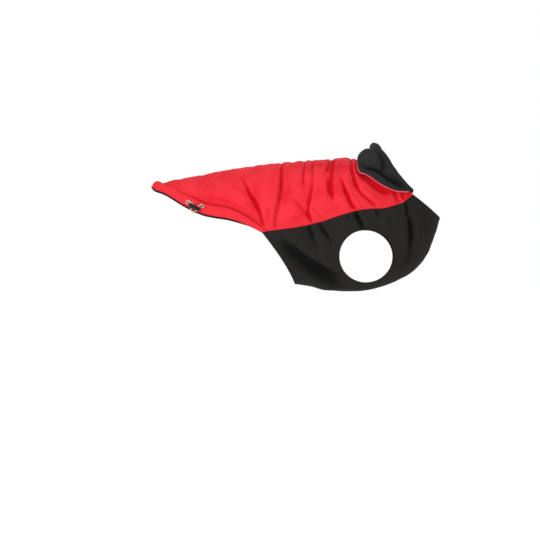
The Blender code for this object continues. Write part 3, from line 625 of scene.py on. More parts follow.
def linked(name: str, data: bpy.types.ID) -> bpy.types.Object:
    """Puts data into the scene.

    Args:
        name: The new object's name.
        data: A mesh, a light or a camera.

    Returns:
        The new object.
    """
    made = bpy.data.objects.new(name, data)
    bpy.context.scene.collection.objects.link(made)
    return made


def outer_points(rows: int, columns: int) -> Array:
    """Marks the points on the border of a grid.

    Args:
        rows: Number of rows.
        columns: Number of columns.

    Returns:
        True or False for each point, row by row.
    """
    border = np.ones((rows, columns), bool)
    border[1:-1, 1:-1] = False
    return border.ravel()


def add_wall(name: str, outer: Array, inner: Array, quads: Array, border: Array,
             uv: Array, shade: Array) -> bpy.types.Object:
    """A closed wall of an outer and an inner sheet that share their border's points.

    Args:
        name: The object's name.
        outer: Places of the outer sheet.
        inner: Places of the inner sheet, with the same numbers.
        quads: The sheet's quads.
        border: True for points where the two sheets meet.
        uv: A texture coordinate for each point of a sheet.
        shade: Painted shade for each point of a sheet.

    Returns:
        The new object.
    """
    own = ~border
    number = np.where(border, np.arange(len(outer)), len(outer) + np.cumsum(own) - 1)
    return add_mesh(name, np.concatenate([outer, inner[own]]),
                    np.concatenate([quads, number[quads][:, ::-1]]),
                    np.concatenate([uv, uv[own]]), np.concatenate([shade, shade[own]]))


def add_cloth(name: str, spots: Array, faces: tuple[Array, Array, Array], quads: Array,
              border: Array, like_sides: bool = False) -> bpy.types.Object:
    """A cloth wall between two heights over the figure, joined along its border.

    Args:
        name: The object's name.
        spots: One (s, angle) row a point.
        faces: Outer heights, inner heights and painted shades.
        quads: The sheet's quads.
        border: True for points where the faces meet, halfway.
        like_sides: True where the weave is mirrored from side to side.

    Returns:
        The new object, with UV of length along the figure and arc round it.
    """
    outer, inner, shade = faces
    outer[border] = inner[border] = 0.5 * (outer + inner)[border]
    weave = np.abs(spots) if like_sides else spots
    return add_wall(name, FIGURE.lifted(spots, outer), FIGURE.lifted(spots, inner), quads,
                    border, weave * (MM, GIRTH_RADIUS * MM), shade)


def capped(rings: Array) -> tuple[Array, Array]:
    """Points and quads of a run of rings, closed by a fan at each end.

    Args:
        rings: A (rings, places round, 3) grid.

    Returns:
        Points, with the two middles last, and quads.
    """
    count, around = rings.shape[:2]
    points = np.concatenate([rings.reshape(-1, 3), rings[[0, -1]].mean(axis=1)])
    first = np.arange(around)
    last = first + (count - 1) * around
    middle = np.full(around, len(points) - 1)
    return points, np.concatenate([
        grid_quads(count, around, (False, True)),
        np.stack([middle - 1, np.roll(first, -1), first, first], axis=1),
        np.stack([middle, last, np.roll(last, -1), np.roll(last, -1)], axis=1)])


def add_tube(name: str, line: Array, radius: float, sides: int = 14) -> bpy.types.Object:
    """A round tube along a line of places, closed at its ends.

    Each ring is centre + radius * (cos * across + sin * square to both), and across is
    carried along the line without twist.

    Args:
        name: The object's name.
        line: Places in millimetres.
        radius: The tube's radius.
        sides: Points a ring.

    Returns:
        The new object, with UV of length along it and arc round it.
    """
    tangent = unit(np.gradient(line, axis=0))
    across = np.empty_like(tangent)
    guess = np.array([0.0, 1.0, 0.0]) if abs(tangent[0, 1]) < 0.8 else np.array([0, 0, 1.0])
    for k, ahead in enumerate(tangent):
        guess = across[k] = unit(guess - ahead * (guess @ ahead))
    turn = np.linspace(0, 2 * np.pi, sides, endpoint=False)[:, None]
    points, quads = capped(line[:, None] + radius * (
        np.cos(turn) * across[:, None] + np.sin(turn) * np.cross(tangent, across)[:, None]))
    run, arc = np.meshgrid(run_of(line) * MM, turn * radius * MM, indexing="ij")
    uv = np.stack([run, arc], axis=-1).reshape(-1, 2)
    return add_mesh(name, points, quads, np.concatenate([uv, uv[[0, -1]]]))


def turned(profile: Array, sides: int) -> tuple[Array, Array]:
    """A closed profile of (radius, height) rows turned round the third axis.

    Args:
        profile: A closed line of radius and height.
        sides: Number of places round the turn.

    Returns:
        Points and quads.
    """
    turn = np.linspace(0, 2 * np.pi, sides, endpoint=False)[:, None]
    radius, height = profile.T
    points = np.stack([radius * np.cos(turn), radius * np.sin(turn),
                       np.broadcast_to(height, (sides, len(profile)))], axis=-1)
    return points.reshape(-1, 3), grid_quads(sides, len(profile), (True, True))


# ---- Shader nodes -------------------------------------------------------------------

class Value:
    """A shader socket; arithmetic on it adds Math nodes."""

    def __init__(self, tree: bpy.types.NodeTree, socket: bpy.types.NodeSocket) -> None:
        """Keeps the tree and the output socket that carries the value."""
        self.tree, self.socket = tree, socket

    def maths(self, operation: str, *others: "Value | float") -> "Value":
        """A Math node of an operation on this value and others."""
        return Nodes(self.tree).node("Math", {"operation": operation},
                                     dict(enumerate((self, *others))))

    def __add__(self, other: "Value | float") -> "Value":
        """The sum."""
        return self.maths("ADD", other)

    __radd__ = __add__

    def __mul__(self, other: "Value | float") -> "Value":
        """The product."""
        return self.maths("MULTIPLY", other)

    __rmul__ = __mul__

    def __sub__(self, other: "Value | float") -> "Value":
        """This less the other."""
        return self.maths("SUBTRACT", other)

    def __rsub__(self, other: float) -> "Value":
        """The other less this."""
        return self * -1.0 + other

    def sine(self) -> "Value":
        """The sine of an angle in radians."""
        return self.maths("SINE")

    def kept(self) -> "Value":
        """The value kept between 0 and 1."""
        return self.maths("MAXIMUM", 0.0).maths("MINIMUM", 1.0)


class Nodes:
    """A node tree, with a method that adds any node."""

    def __init__(self, tree: bpy.types.NodeTree) -> None:
        """Keeps the tree."""
        self.tree = tree

    def plug(self, sockets: bpy.types.NodeInputs, given: dict) -> None:
        """Links or sets sockets.

        Args:
            sockets: A node's inputs.
            given: Values or links by socket name or number.
        """
        for key, value in given.items():
            if isinstance(value, Value):
                self.tree.links.new(value.socket, sockets[key])
            else:
                sockets[key].default_value = value

    def node(self, kind: str, settings: dict | None = None, inputs: dict | None = None,
             output: int | str = 0) -> Value:
        """Adds a node.

        Args:
            kind: The node's type without ShaderNode.
            settings: Its properties, which are set first.
            inputs: Values or links by socket name or number.
            output: The output to return.

        Returns:
            The chosen output.
        """
        made = self.tree.nodes.new("ShaderNode" + kind)
        for key, given in (settings or {}).items():
            setattr(made, key, given)
        self.plug(made.inputs, inputs or {})
        return Value(self.tree, made.outputs[output])

    def blend(self, share: "Value | float", low: "Value | tuple",
              high: "Value | tuple") -> Value:
        """A colour between low and high by share; each is a link or red, green and blue."""
        low, high = (end if isinstance(end, Value) else (*end, 1.0) for end in (low, high))
        return self.node("Mix", {"data_type": "RGBA"}, {0: share, 6: low, 7: high}, 2)


class Shader(Nodes):
    """A material with one Principled surface."""

    def __init__(self, name: str) -> None:
        """Makes the material.

        Args:
            name: The material's name.
        """
        self.material = bpy.data.materials.new(name)
        self.material.use_nodes = True
        super().__init__(self.material.node_tree)

    def feed(self, given: dict) -> None:
        """Links or sets sockets of the Principled node."""
        self.plug(self.tree.nodes["Principled BSDF"].inputs, given)

    def noise(self, scale: float, detail: float = 2.0, rough: float = 0.5) -> Value:
        """Noise on Object coordinates.

        Args:
            scale: Its scale, per metre.
            detail: Number of finer layers.
            rough: Weight of the finer layers.

        Returns:
            The noise, from 0 to 1.
        """
        where = self.node("TexCoord", output="Object")
        return self.node("TexNoise", {"noise_dimensions": "3D"},
                         {"Vector": where, "Scale": scale, "Detail": detail,
                          "Roughness": rough})

    def plane(self) -> tuple[Value, Value]:
        """The two parts of the piece's own UV map, in metres."""
        uv = self.node("UVMap", {"uv_map": "UVMap"})
        return tuple(self.node("SeparateXYZ", {}, {0: uv}, part) for part in "XY")

    def bump(self, height: Value, depth: float) -> Value:
        """A normal bent by a height in units of depth metres."""
        return self.node("Bump", {}, {"Height": height, "Distance": depth, "Strength": 1.0},
                         "Normal")


def dimmed(colour: tuple[float, float, float], share: float) -> tuple[float, ...]:
    """A share of a colour."""
    return tuple(share * part for part in colour)


class Weave(Enum):
    """How a cloth's face is made."""

    PLAIN = "plain"
    KNIT = "knit"
    FLEECE = "fleece"
    BRAID = "braid"


@dataclass(frozen=True)
class ClothFinish:
    """A cloth's colour and surface."""

    name: str
    colour: tuple[float, float, float]
    shade_colour: tuple[float, float, float]  # painted shade colour, reached in creases, along seams and in shadows
    weave: Weave
    pitch: float  # metres from thread to thread
    relief: float  # height of the threads in metres
    roughness: float
    sheen: float
    mottle: float  # how strongly the colour varies

    def face(self, shader: Shader) -> Value:
        """Height of the threads, from 0 to 1.

        A plain weave is sine times sine, a knit has slanted rows, a braid has two slanted
        sets of threads, and fleece is fine noise.

        Args:
            shader: The shader to add nodes to.

        Returns:
            The height.
        """
        if self.weave is Weave.FLEECE:
            return shader.noise(1.0 / self.pitch, 4.0, 0.7)
        turn = 2 * math.pi / self.pitch
        u, v = (part * turn for part in shader.plane())
        if self.weave is Weave.PLAIN:
            wave = u.sine() * v.sine()
        elif self.weave is Weave.KNIT:
            wave = (v.sine() * 0.9 + u).sine()
        else:
            wave = (u + v).sine().maths("MAXIMUM", (u - v).sine())
        return wave * 0.5 + 0.5

    @cached_property
    def material(self) -> bpy.types.Material:
        """The material.

        The colour goes from open to shade_colour, a painted shade, with the piece's own shade
        attribute, and is mottled by two scales of noise. Between the threads it is darker, a
        painted shade in the weave's hollows.

        Returns:
            The material, made once.
        """
        shader = Shader(self.name)
        shade = shader.node("Attribute", {"attribute_name": "shade"}, output="Fac")
        wide, fine = shader.noise(14.0, 3.0), shader.noise(420.0, 2.0)
        threads = self.face(shader)
        # painted shade: the colour goes to shade_colour where the shade attribute is full
        base = shader.blend((shade + (wide - 0.5) * self.mottle).kept(), self.colour,
                            self.shade_colour)
        shader.feed({
            # painted shade: the colour darkens between the threads, in the weave's hollows;
            # the fine noise adds random tone
            "Base Color": shader.blend((1.0 - threads) * 0.22 + (fine - 0.5) * 0.2, base,
                                       dimmed(self.colour, 0.72)),
            "Roughness": (wide - 0.5) * 0.12 + (fine - 0.5) * 0.10 + self.roughness,
            "Sheen Weight": self.sheen, "Sheen Roughness": 0.45,
            "Specular IOR Level": 0.03,
            "Normal": shader.bump(threads + fine * 0.6, self.relief)})
        return shader.material


@dataclass(frozen=True)
class HardFinish:
    """A hard surface: moulded plastic or plated metal."""

    name: str
    colour: tuple[float, float, float]
    roughness: float
    metallic: float
    grain: float  # depth of the fine grain in metres

    @cached_property
    def material(self) -> bpy.types.Material:
        """The material, with handling marks in its roughness.

        Returns:
            The material, made once.
        """
        shader = Shader(self.name)
        fine, marks = shader.noise(1800.0, 2.0), shader.noise(260.0, 4.0, 0.65)
        shader.feed({
            "Base Color": shader.blend(marks * 0.5, self.colour, dimmed(self.colour, 0.7)),
            "Roughness": (marks - 0.5) * 0.25 + self.roughness,
            "Metallic": self.metallic,
            "Specular IOR Level": 0.5 if self.metallic else 0.22,
            "Normal": shader.bump(fine, self.grain)})
        return shader.material


SHELL_FINISH = ClothFinish("red_woven_nylon", (0.79, 0.031, 0.045), (0.54, 0.0002, 0.006),
                           Weave.PLAIN, 0.0011, 0.00004, 0.60, 0.015, 0.10)
CASING_FINISH = ClothFinish("red_casing_nylon", (0.78, 0.029, 0.042), (0.54, 0.0002, 0.006),
                            Weave.PLAIN, 0.0011, 0.00004, 0.60, 0.015, 0.10)
CHEST_FINISH = ClothFinish("black_soft_shell", (0.0195, 0.0186, 0.0168), (0.004, 0.004, 0.004),
                           Weave.KNIT, 0.0012, 0.00004, 0.85, 0.01, 0.25)
COLLAR_FINISH = ClothFinish("black_collar_cloth", (0.0235, 0.0235, 0.0240),
                            (0.004, 0.004, 0.004), Weave.KNIT, 0.0012, 0.00004, 0.70,
                            0.05, 0.30)
LINING_FINISH = ClothFinish("black_fleece", (0.012, 0.011, 0.012), (0.005, 0.005, 0.005),
                            Weave.FLEECE, 0.0016, 0.00030, 0.90, 0.20, 0.30)
PIPING_FINISH = ClothFinish("rose_piping", (0.66, 0.085, 0.120), (0.35, 0.03, 0.05),
                            Weave.BRAID, 0.0009, 0.00004, 0.45, 0.05, 0.15)
CORD_FINISH = ClothFinish("pale_elastic_cord", (0.60, 0.40, 0.32), (0.36, 0.22, 0.17),
                          Weave.BRAID, 0.0011, 0.00010, 0.70, 0.15, 0.15)
RED_THREAD = ClothFinish("red_thread", (0.62, 0.018, 0.026), (0.36, 0.004, 0.010),
                         Weave.BRAID, 0.0004, 0.00003, 0.5, 0.1, 0.1)
BLACK_THREAD = ClothFinish("black_thread", (0.020, 0.020, 0.020), (0.008, 0.008, 0.008),
                           Weave.BRAID, 0.0004, 0.00003, 0.5, 0.1, 0.1)
# plated metal; its pinkish tint is partly a painted reflection of the red cloth around it
EYELET_FINISH = HardFinish("plated_eyelet", (0.56, 0.42, 0.40), 0.34, 1.0, 0.00001)
LOCK_FINISH = HardFinish("black_lock_plastic", (0.0065, 0.0045, 0.0042), 0.50, 0.0, 0.00002)
# painted shade: a dark disc that stands for the shaded inside of an eyelet's hole
HOLE_SHADE_FINISH = HardFinish("eyelet_shadow", (0.010, 0.004, 0.004), 0.9, 0.0, 0.00002)


def enrol(piece: bpy.types.Object, finish: ClothFinish | HardFinish, slot: str,
          *nodes: str) -> None:
    """Dresses a piece, makes it ride with the body, and hides the CAD parts it stands for.

    Args:
        piece: The piece.
        finish: Its finish.
        slot: Not used.
        nodes: The CAD nodes that it replaces.
    """
    piece.data.materials.append(finish.material)
    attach(piece, BODY)
    if nodes:
        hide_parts(*nodes)
    LOG.info("%s: %d faces", piece.name, len(piece.data.polygons))


# ---- Outlines -----------------------------------------------------------------------

@dataclass(frozen=True)
class Cut:
    """The edges of the pieces on the right half, shared where the pieces meet."""

    hem: tuple[tuple[float, float], ...]  # (x, degrees) from the tail's middle forward
    seam_knots: tuple[tuple[float, float], ...]  # (x, z), after the hem's last knot
    neck_tip: float = math.radians(104.0)  # where the side seam meets the neckline
    casing_width: float = 21.0  # at the tail
    casing_end: float = 7.0
    taper: float = 0.30  # share of the half hem over which the casing narrows
    corner: int = 220  # step of the half hem where the back's rear edge turns to its side
    casing_meets: int = 20  # step of the side seam where the casing's upper edge meets it
    easing: int = 150  # how often the stitch line is eased
    fine: int = 560  # steps along the half hem and along the seam
    gap: float = 0.2  # room between the edges of two pieces

    @cached_property
    def hem_line(self) -> Array:
        """The rear hem, from the tail's middle to the side seam."""
        return FIGURE.spaced(knot_spots(self.hem), self.fine)

    @cached_property
    def seam_line(self) -> Array:
        """The side seam.

        Returns:
            Spots from the hem to the neckline.
        """
        seen = FIGURE.locate(np.array(self.seam_knots))
        return FIGURE.spaced([self.hem_line[-1], *seen, (FIGURE.neck, self.neck_tip)],
                             self.fine)

    @cached_property
    def stitch_line(self) -> Array:
        """The stitch line between back and hem casing.

        Returns:
            Spots from the tail's middle forward.
        """
        share = np.linspace(0, 1, self.fine + 1)
        narrow = np.clip((share - 1 + self.taper) / self.taper, 0, 1)
        width = self.casing_width + (self.casing_end - self.casing_width) * narrow ** 1.5
        line = FIGURE.shifted(self.hem_line, width, closed=False)
        line[0, 1] = 0.0
        miss = self.seam_line[self.casing_meets] - line[-1]
        return eased(line + smooth_step((share - 0.9) / 0.1)[:, None] * miss, self.easing)

    def neckline(self, from_angle: float, to_angle: float, count: int = 240) -> Array:
        """Spots along the neckline between two angles."""
        return np.linspace((FIGURE.neck, from_angle), (FIGURE.neck, to_angle), count + 1)

    def loop(self, rear_half: Array, side: Array, rear_in: float, side_in: Array | float,
             front_in: float) -> Loop:
        """The edge of a back piece, set in from the lines that it follows.

        Args:
            rear_half: From the middle to the right corner.
            side: The right side, forward.
            rear_in: How far the rear edge is set in.
            side_in: The same for each spot of the side.
            front_in: The same for the neckline.

        Returns:
            Rear edge from right to left, right side forward, front from right to left.
        """
        front = self.neckline(self.neck_tip, -self.neck_tip)
        at = np.cumsum([len(rear_half) - 1, len(side) - 1, len(front) - 1])
        side_in = np.broadcast_to(side_in, len(side))
        spots = np.concatenate([rear_half[:-1], side[:-1], front[:-1],
                                mirrored(side)[:0:-1], mirrored(rear_half)[:0:-1]])
        inset = np.concatenate([np.full(at[0], rear_in), side_in[:-1],
                                np.full(len(front) - 1, front_in), side_in[:0:-1],
                                np.full(at[0], rear_in)])
        moved = FIGURE.shifted(spots, inset)
        moved[0, 1] = 0.0
        half = moved[:at[0] + 1]
        return (np.concatenate([half[::-1], mirrored(half)[1:]]),
                moved[at[0]:at[1] + 1], moved[at[1]:at[2] + 1])


CUT = Cut(
    hem=((-375.0, 0.0), (-373.5, 18.0), (-369.0, 28.0), (-356.0, 36.0), (-344.0, 43.5),
         (-320.0, 58.0), (-296.0, 68.5), (-272.0, 76.0), (-248.0, 80.0), (-224.0, 83.0),
         (-200.0, 87.5), (-176.0, 93.5), (-156.0, 99.0)),
    seam_knots=((-80.0, -132.0), (-44.0, -124.0), (0.0, -110.0), (36.0, -100.0),
                (76.0, -96.5), (108.0, -90.0), (126.0, -83.0)))


def ring_of(loop: Loop) -> Array:
    """Places all round a back piece's edge.

    Args:
        loop: The piece's edge.

    Returns:
        Places, one a row.
    """
    rear, side, front = loop
    return FIGURE.point(np.concatenate([rear[::-1], side[1:], front[1:],
                                        mirrored(side)[::-1][1:]]))


def patch(loop: Loop, rows: int, columns: int, near: tuple[float, ...],
          forward: float = 0.0) -> Array:
    """A grid of spots over a back piece.

    The grid is the blend of the two sides plus the blend of rear and front, less the blend
    of the four corners.

    Args:
        loop: The piece's edge.
        rows: Even rows.
        columns: Even columns.
        near: Distances from the edges that get a row or column of their own.
        forward: How much closer the rows are at the front.

    Returns:
        A (rows, columns, 2) grid.
    """
    rear, side, front = loop
    u = refined(rows, FIGURE.run(side)[-1], near)
    u = u + forward * np.sin(np.pi * u) / np.pi
    v = refined(columns, FIGURE.run(rear)[-1] + 60.0, near)
    side_at = FIGURE.at_shares(side, u)[:, None]
    rear_at, front_at = FIGURE.at_shares(rear, v), FIGURE.at_shares(front, v)
    u, v = u[:, None, None], v[None, :, None]
    corners = ((1 - u) * ((1 - v) * rear[0] + v * rear[-1])
               + u * ((1 - v) * front[0] + v * front[-1]))
    return ((1 - v) * side_at + v * mirrored(side_at)
            + (1 - u) * rear_at + u * front_at - corners)


def puckers(apart: Array, run: Array, reach: float = 11.0, pitch: float = 12.0,
            high: float = 0.55, seed: int = 5) -> Array:
    """Small gathers square to a seam, uneven in pitch and height, which fade inwards.

    The height is high * sine(run / pitch, with a wandering phase) * exp(-(d / reach) ** 2),
    times 1 - exp(-d / 1.5) so that the seam itself stays level.

    Args:
        apart: Distance from the seam.
        run: Length along the seam of the nearest place on it.
        reach: Distance at which they fade.
        pitch: Distance from one gather to the next.
        high: Their height.
        seed: Number that fixes their unevenness.

    Returns:
        One height a point.
    """
    rng = np.random.default_rng(seed)
    phase, level = np.zeros_like(run), np.zeros_like(run)
    for wave in rng.uniform(28.0, 90.0, 6):
        phase += np.sin(2 * np.pi * run / wave + rng.uniform(0, 6.3))
        level += np.sin(2 * np.pi * run / (0.7 * wave) + rng.uniform(0, 6.3))
    swing = np.sin(2 * np.pi * run / pitch + 1.3 * phase)
    return (high * swing * (0.65 + 0.35 * np.tanh(level)) * np.exp(-(apart / reach) ** 2)
            * (1 - np.exp(-apart / 1.5)))


@dataclass(frozen=True)
class StitchRow:
    """A row of lockstitches."""

    pitch: float = 3.2
    length: float = 2.3
    thick: float = 0.5

    @cached_property
    def form(self) -> tuple[Array, Array]:
        """One stitch along the first axis: a thread that arches out and dips at its ends.

        Its radius is thick / 2 * sqrt(1 - x ** 2), with x from -1 to 1 along its length.

        Returns:
            Points and quads.
        """
        along = np.linspace(-1, 1, 7)[:, None]
        turn = np.linspace(0, 2 * np.pi, 6, endpoint=False)
        radius = 0.5 * self.thick * np.sqrt(np.maximum(1 - along ** 2, 0.02))
        ring = np.stack([np.broadcast_to(0.5 * self.length * along, (7, 6)),
                         radius * np.cos(turn),
                         radius * np.sin(turn) + 0.35 * self.thick * (1 - along ** 2)],
                        axis=-1).reshape(-1, 3)
        caps = [(0, 1, 2, 3), (0, 3, 4, 5), (36, 39, 38, 37), (36, 41, 40, 39)]
        return ring, np.concatenate([grid_quads(7, 6, (False, True)), caps])

    def add(self, name: str, line: Array, out: Array, finish: ClothFinish,
            slot: str) -> None:
        """Lays stitches along a line, all in one object.

        Args:
            name: The object's name.
            line: Dense places along the row.
            out: Outward vectors at them.
            finish: The thread's finish.
            slot: A slot name, passed on to enrol.
        """
        run = run_of(line)
        middle = np.arange(0.5 * self.pitch, run[-1] - 0.4 * self.pitch, self.pitch)
        ahead = unit(read_at(middle, run, unit(np.gradient(line, axis=0))))
        away = unit(read_at(middle, run, out))
        away = unit(away - ahead * dot(away, ahead)[:, None])
        ahead = unit(ahead + 0.09 * np.cross(away, ahead))
        axes = np.stack([ahead, np.cross(away, ahead), away], axis=1)
        form, quads = self.form
        points = np.einsum("pk,nkc->npc", form, axes) + read_at(middle, run, line)[:, None]
        every = quads + (np.arange(len(middle)) * len(form))[:, None, None]
        enrol(add_mesh(name, points.reshape(-1, 3), every.reshape(-1, 4),
                       np.tile(form[:, :2] * MM, (len(middle), 1))), finish, slot)


STITCHES = StitchRow()


# ---- Cloth pieces -------------------------------------------------------------------

@dataclass(frozen=True)
class BackPanel:
    """The padded red back."""

    lift: float = 1.6  # of its inner face over the figure
    edge: float = 3.0  # thickness at its edges
    tuck: float = 1.5  # how far the side edges come down to meet the chest panel
    puff: float = 2.6  # more thickness inside
    flank: float = 2.4  # more still on the flanks, out of the outline's way
    fade: float = 22.0  # distance from edges and collar at which those are full
    rounding: float = 1.8  # radius of the edge
    drawn: tuple[float, float] = (-320.0, -150.0)  # from x to x, where the casing draws it in
    least: float = 0.9  # thickness in the deepest crease
    rows: int = 330
    columns: int = 128
    near_edge: tuple[float, ...] = (0.4, 1.2, 2.4)
    finer_forward: float = 0.35

    @cached_property
    def loop(self) -> Loop:
        """The panel's edge: stitch line, side seam and neckline.

        Returns:
            The edge.
        """
        stitch, at = CUT.stitch_line, CUT.corner
        side = np.concatenate([stitch[at:-1], CUT.seam_line[CUT.casing_meets:]])
        inset = 0.5 * CUT.gap
        return CUT.loop(stitch[:at + 1], side, inset, inset, inset)

    def faces(self, spots: Array) -> tuple[Array, Array, Array]:
        """Heights of the outer and the inner face over the figure, and the painted shade.

        The thickness is edge plus puff and flank inside, plus creases, soft unevenness and
        puckers. Where the casing draws it in, its edge is rounder and has more painted shade.
        The painted shade is deeper in creases, along edges, in valleys of the unevenness and
        in a painted shadow beside the collar's edge, and lighter on the unevenness' ridges.

        Args:
            spots: One (s, angle) row a point.

        Returns:
            Outer heights, inner heights and painted shades.
        """
        places, around = FIGURE.point(spots), np.abs(spots[:, 1])
        border = ring_of(self.loop)
        apart, which = nearest(places, border)
        loft = smooth_step(apart / self.fade)
        past_collar = np.interp(np.degrees(around), COLLAR.table[:, 4],
                                COLLAR.table[:, 3]) - places[:, 0]
        bare = smooth_step((past_collar - 2.0) / self.fade)
        flank = smooth_step((around - 0.45) / 0.6) * bare
        creases = crease_height(places, BACK_CREASES) * smooth_step(apart / 5.0)
        soft = soft_noise(places, (1.3, 60.0, 3), (0.6, 27.0, 4)) * loft * (0.2 + 0.8 * bare)
        thick = (self.edge + (self.puff + self.flank * flank) * loft
                 + creases * (0.72 + 0.28 * flank) + soft * (0.35 + 0.65 * flank)
                 + puckers(apart, run_of(border)[which]))
        drawn = (smooth_step((places[:, 0] - self.drawn[0]) / 40)
                 * smooth_step((self.drawn[1] - places[:, 0]) / 14))
        # painted shade: creases, edges, valleys of the soft unevenness with lighter ridges,
        # and the collar's painted shadow
        shade = (np.clip(-(creases + 0.7) / 4.3, 0, 1) + (0.10 + 0.50 * drawn)
                 * np.exp(-apart / (1.8 + 3.4 * drawn)) + 0.14 - 0.14 * soft
                 + 0.7 * np.exp(-np.abs(past_collar - 1.0) / 4.5))
        round_off = rounded(apart, self.rounding + 3 * drawn)
        on_right = places * (1, 0, 1) - np.abs(places) * (0, 1, 0)
        beside = smooth_step(nearest(on_right, FIGURE.point(self.loop[1]))[0] / 5.0)
        middle = self.lift + 0.5 * self.edge - self.tuck * (1 - beside)
        outer = middle + (self.lift + np.maximum(thick, self.least) - middle) * round_off
        inner = middle - (middle - self.lift) * round_off
        return outer, inner, np.clip(shade, 0, 1)

    def build(self) -> None:
        """Builds and dresses the panel."""
        grid = patch(self.loop, self.rows, self.columns, self.near_edge, self.finer_forward)
        spots, size = grid.reshape(-1, 2), grid.shape[:2]
        panel = add_cloth("back_shell", spots, self.faces(spots), grid_quads(*size),
                          outer_points(*size))
        enrol(panel, SHELL_FINISH, "shell", "back_panel")


@dataclass(frozen=True)
class BackLining:
    """The black fleece lining under back and casing, which shows along the rear hem."""

    lift: float = -0.1
    thick: float = 1.3
    shows: float = 2.6  # how far it stands out past the hem at the tail
    hidden: float = 1.6  # how far it stays in behind the side seam
    fades_at: float = 0.36  # share of the side where it goes out of sight
    rounding: float = 0.9  # radius of the edge
    rows: int = 150
    columns: int = 90
    near_edge: tuple[float, ...] = (0.25, 0.6, 1.2)

    def build(self) -> None:
        """Builds and dresses the lining, rounded at its edge and sagging a little inside."""
        hem = CUT.hem_line
        side = np.concatenate([hem[CUT.corner:], CUT.seam_line[1:]])
        hem_share = (hem[-1, 0] - side[:, 0]) / (hem[-1, 0] - side[0, 0])
        side_in = self.hidden - (self.hidden + self.shows) * smooth_step(
            hem_share / self.fades_at)
        loop = CUT.loop(hem[:CUT.corner + 1], side, -self.shows, side_in, self.hidden)
        grid = patch(loop, self.rows, self.columns, self.near_edge)
        spots, size = grid.reshape(-1, 2), grid.shape[:2]
        places, border = FIGURE.point(spots), outer_points(*size)
        apart, _ = nearest(places, ring_of(loop))
        half = 0.5 * self.thick * rounded(apart, self.rounding)
        middle = self.lift + 0.5 * self.thick
        sag = np.minimum(soft_noise(places, (0.5, 40.0, 9)), 0.0) * smooth_step(apart / 12)
        sag[border] = 0.0
        piece = add_cloth("lining_fleece", spots,
                          (middle + half, middle - half + sag, np.zeros(len(spots))),
                          grid_quads(*size), border)
        enrol(piece, LINING_FINISH, "lining", "back_lining")


@dataclass(frozen=True)
class HemCasing:
    """The red casing round the rear hem, gathered by the cord inside it."""

    lift: float = 1.6
    edge: float = 2.4  # thickness at its edges
    puff: float = 3.4  # more thickness at its crown
    tail_puff: float = 2.2  # more still at the tail
    gather: float = 0.55  # height of the gathers
    width: float = 20.0
    rounding: float = 1.3
    along: int = 420
    across: int = 26
    sewn_at: float = 0.90  # the stitches, as a share of the width

    @cached_property
    def lines(self) -> tuple[Array, Array]:
        """The casing's edges from the right end to the left one.

        Returns:
            Spots of the lower edge and of the upper one.
        """
        hem, stitch = (np.concatenate([line[::-1], mirrored(line)[1:]])
                       for line in (CUT.hem_line, CUT.stitch_line))
        loop = FIGURE.shifted(np.concatenate([hem, stitch[::-1]]), -0.5 * CUT.gap)
        return loop[:len(hem)], loop[len(hem):][::-1]

    def spots(self, along: Array, across: Array) -> Array:
        """Spots at shares along the casing and across it, upwards."""
        low, high = (FIGURE.at_shares(line, along) for line in self.lines)
        return low * (1 - across) + high * across

    def height(self, run: Array, total: float, angle: Array, across: Array) -> Array:
        """Height of the outer face over the figure.

        The section is edge + puff * sin(pi * across), fuller at the tail and flat at the
        ends, with uneven gathers square to the hem.

        Args:
            run: Length along the hem.
            total: The hem's whole length.
            angle: Angle round the figure.
            across: Share from the lower edge to the upper one.

        Returns:
            One height a point.
        """
        end = smooth_step(np.minimum(run, total - run) / 60.0)
        puff = self.puff + self.tail_puff * np.exp(-(angle / 0.6) ** 2)
        crown = np.sin(np.pi * across)
        wave = (np.sin(2 * np.pi * run / 13.0 + 1.5 * np.sin(run / 17.0))
                + 0.7 * np.sin(2 * np.pi * run / 7.3 + 2.0 * np.sin(run / 29.0)))
        calm = 0.45 + 0.55 * np.exp(-((np.abs(angle) - 1.25) / 0.35) ** 2)
        slack = self.gather * wave * calm * end * crown ** 0.5 * (0.35 + 0.65 * across)
        return self.lift + self.edge + puff * crown ** 0.85 * (0.3 + 0.7 * end) + slack

    def build(self) -> None:
        """Builds and dresses the casing and its row of stitches."""
        total = FIGURE.run(self.lines[0])[-1]
        u = refined(self.along, total, (0.4, 1.0, 2.0))
        v = refined(self.across, self.width, (0.3, 0.8, 1.5))
        spots = np.stack([self.spots(u, share) for share in v], axis=1).reshape(-1, 2)
        run, across = (part.ravel() for part in np.meshgrid(u * total, v, indexing="ij"))
        apart = np.minimum(np.minimum(across, 1 - across) * self.width,
                           np.minimum(run, total - run))
        round_off = rounded(apart, self.rounding)
        middle = self.lift + 0.5 * self.edge
        outer = middle + (self.height(run, total, spots[:, 1], across) - middle) * round_off
        # the third value is painted shade along the casing's edges
        faces = outer, middle - 0.5 * self.edge * round_off, 0.22 * np.exp(-apart / 2.2)
        piece = add_cloth("hem_casing_gathered", spots, faces, grid_quads(len(u), len(v)),
                          outer_points(len(u), len(v)))
        enrol(piece, CASING_FINISH, "casing", "rear_hem_casing")
        shares = np.linspace(0.012, 0.988, 900)
        row = self.spots(shares, self.sewn_at)
        height = self.height(shares * total, total, row[:, 1], self.sewn_at)
        STITCHES.add("casing_stitches", FIGURE.lifted(row, height + 0.05),
                     FIGURE.outward(row), RED_THREAD, "casing")


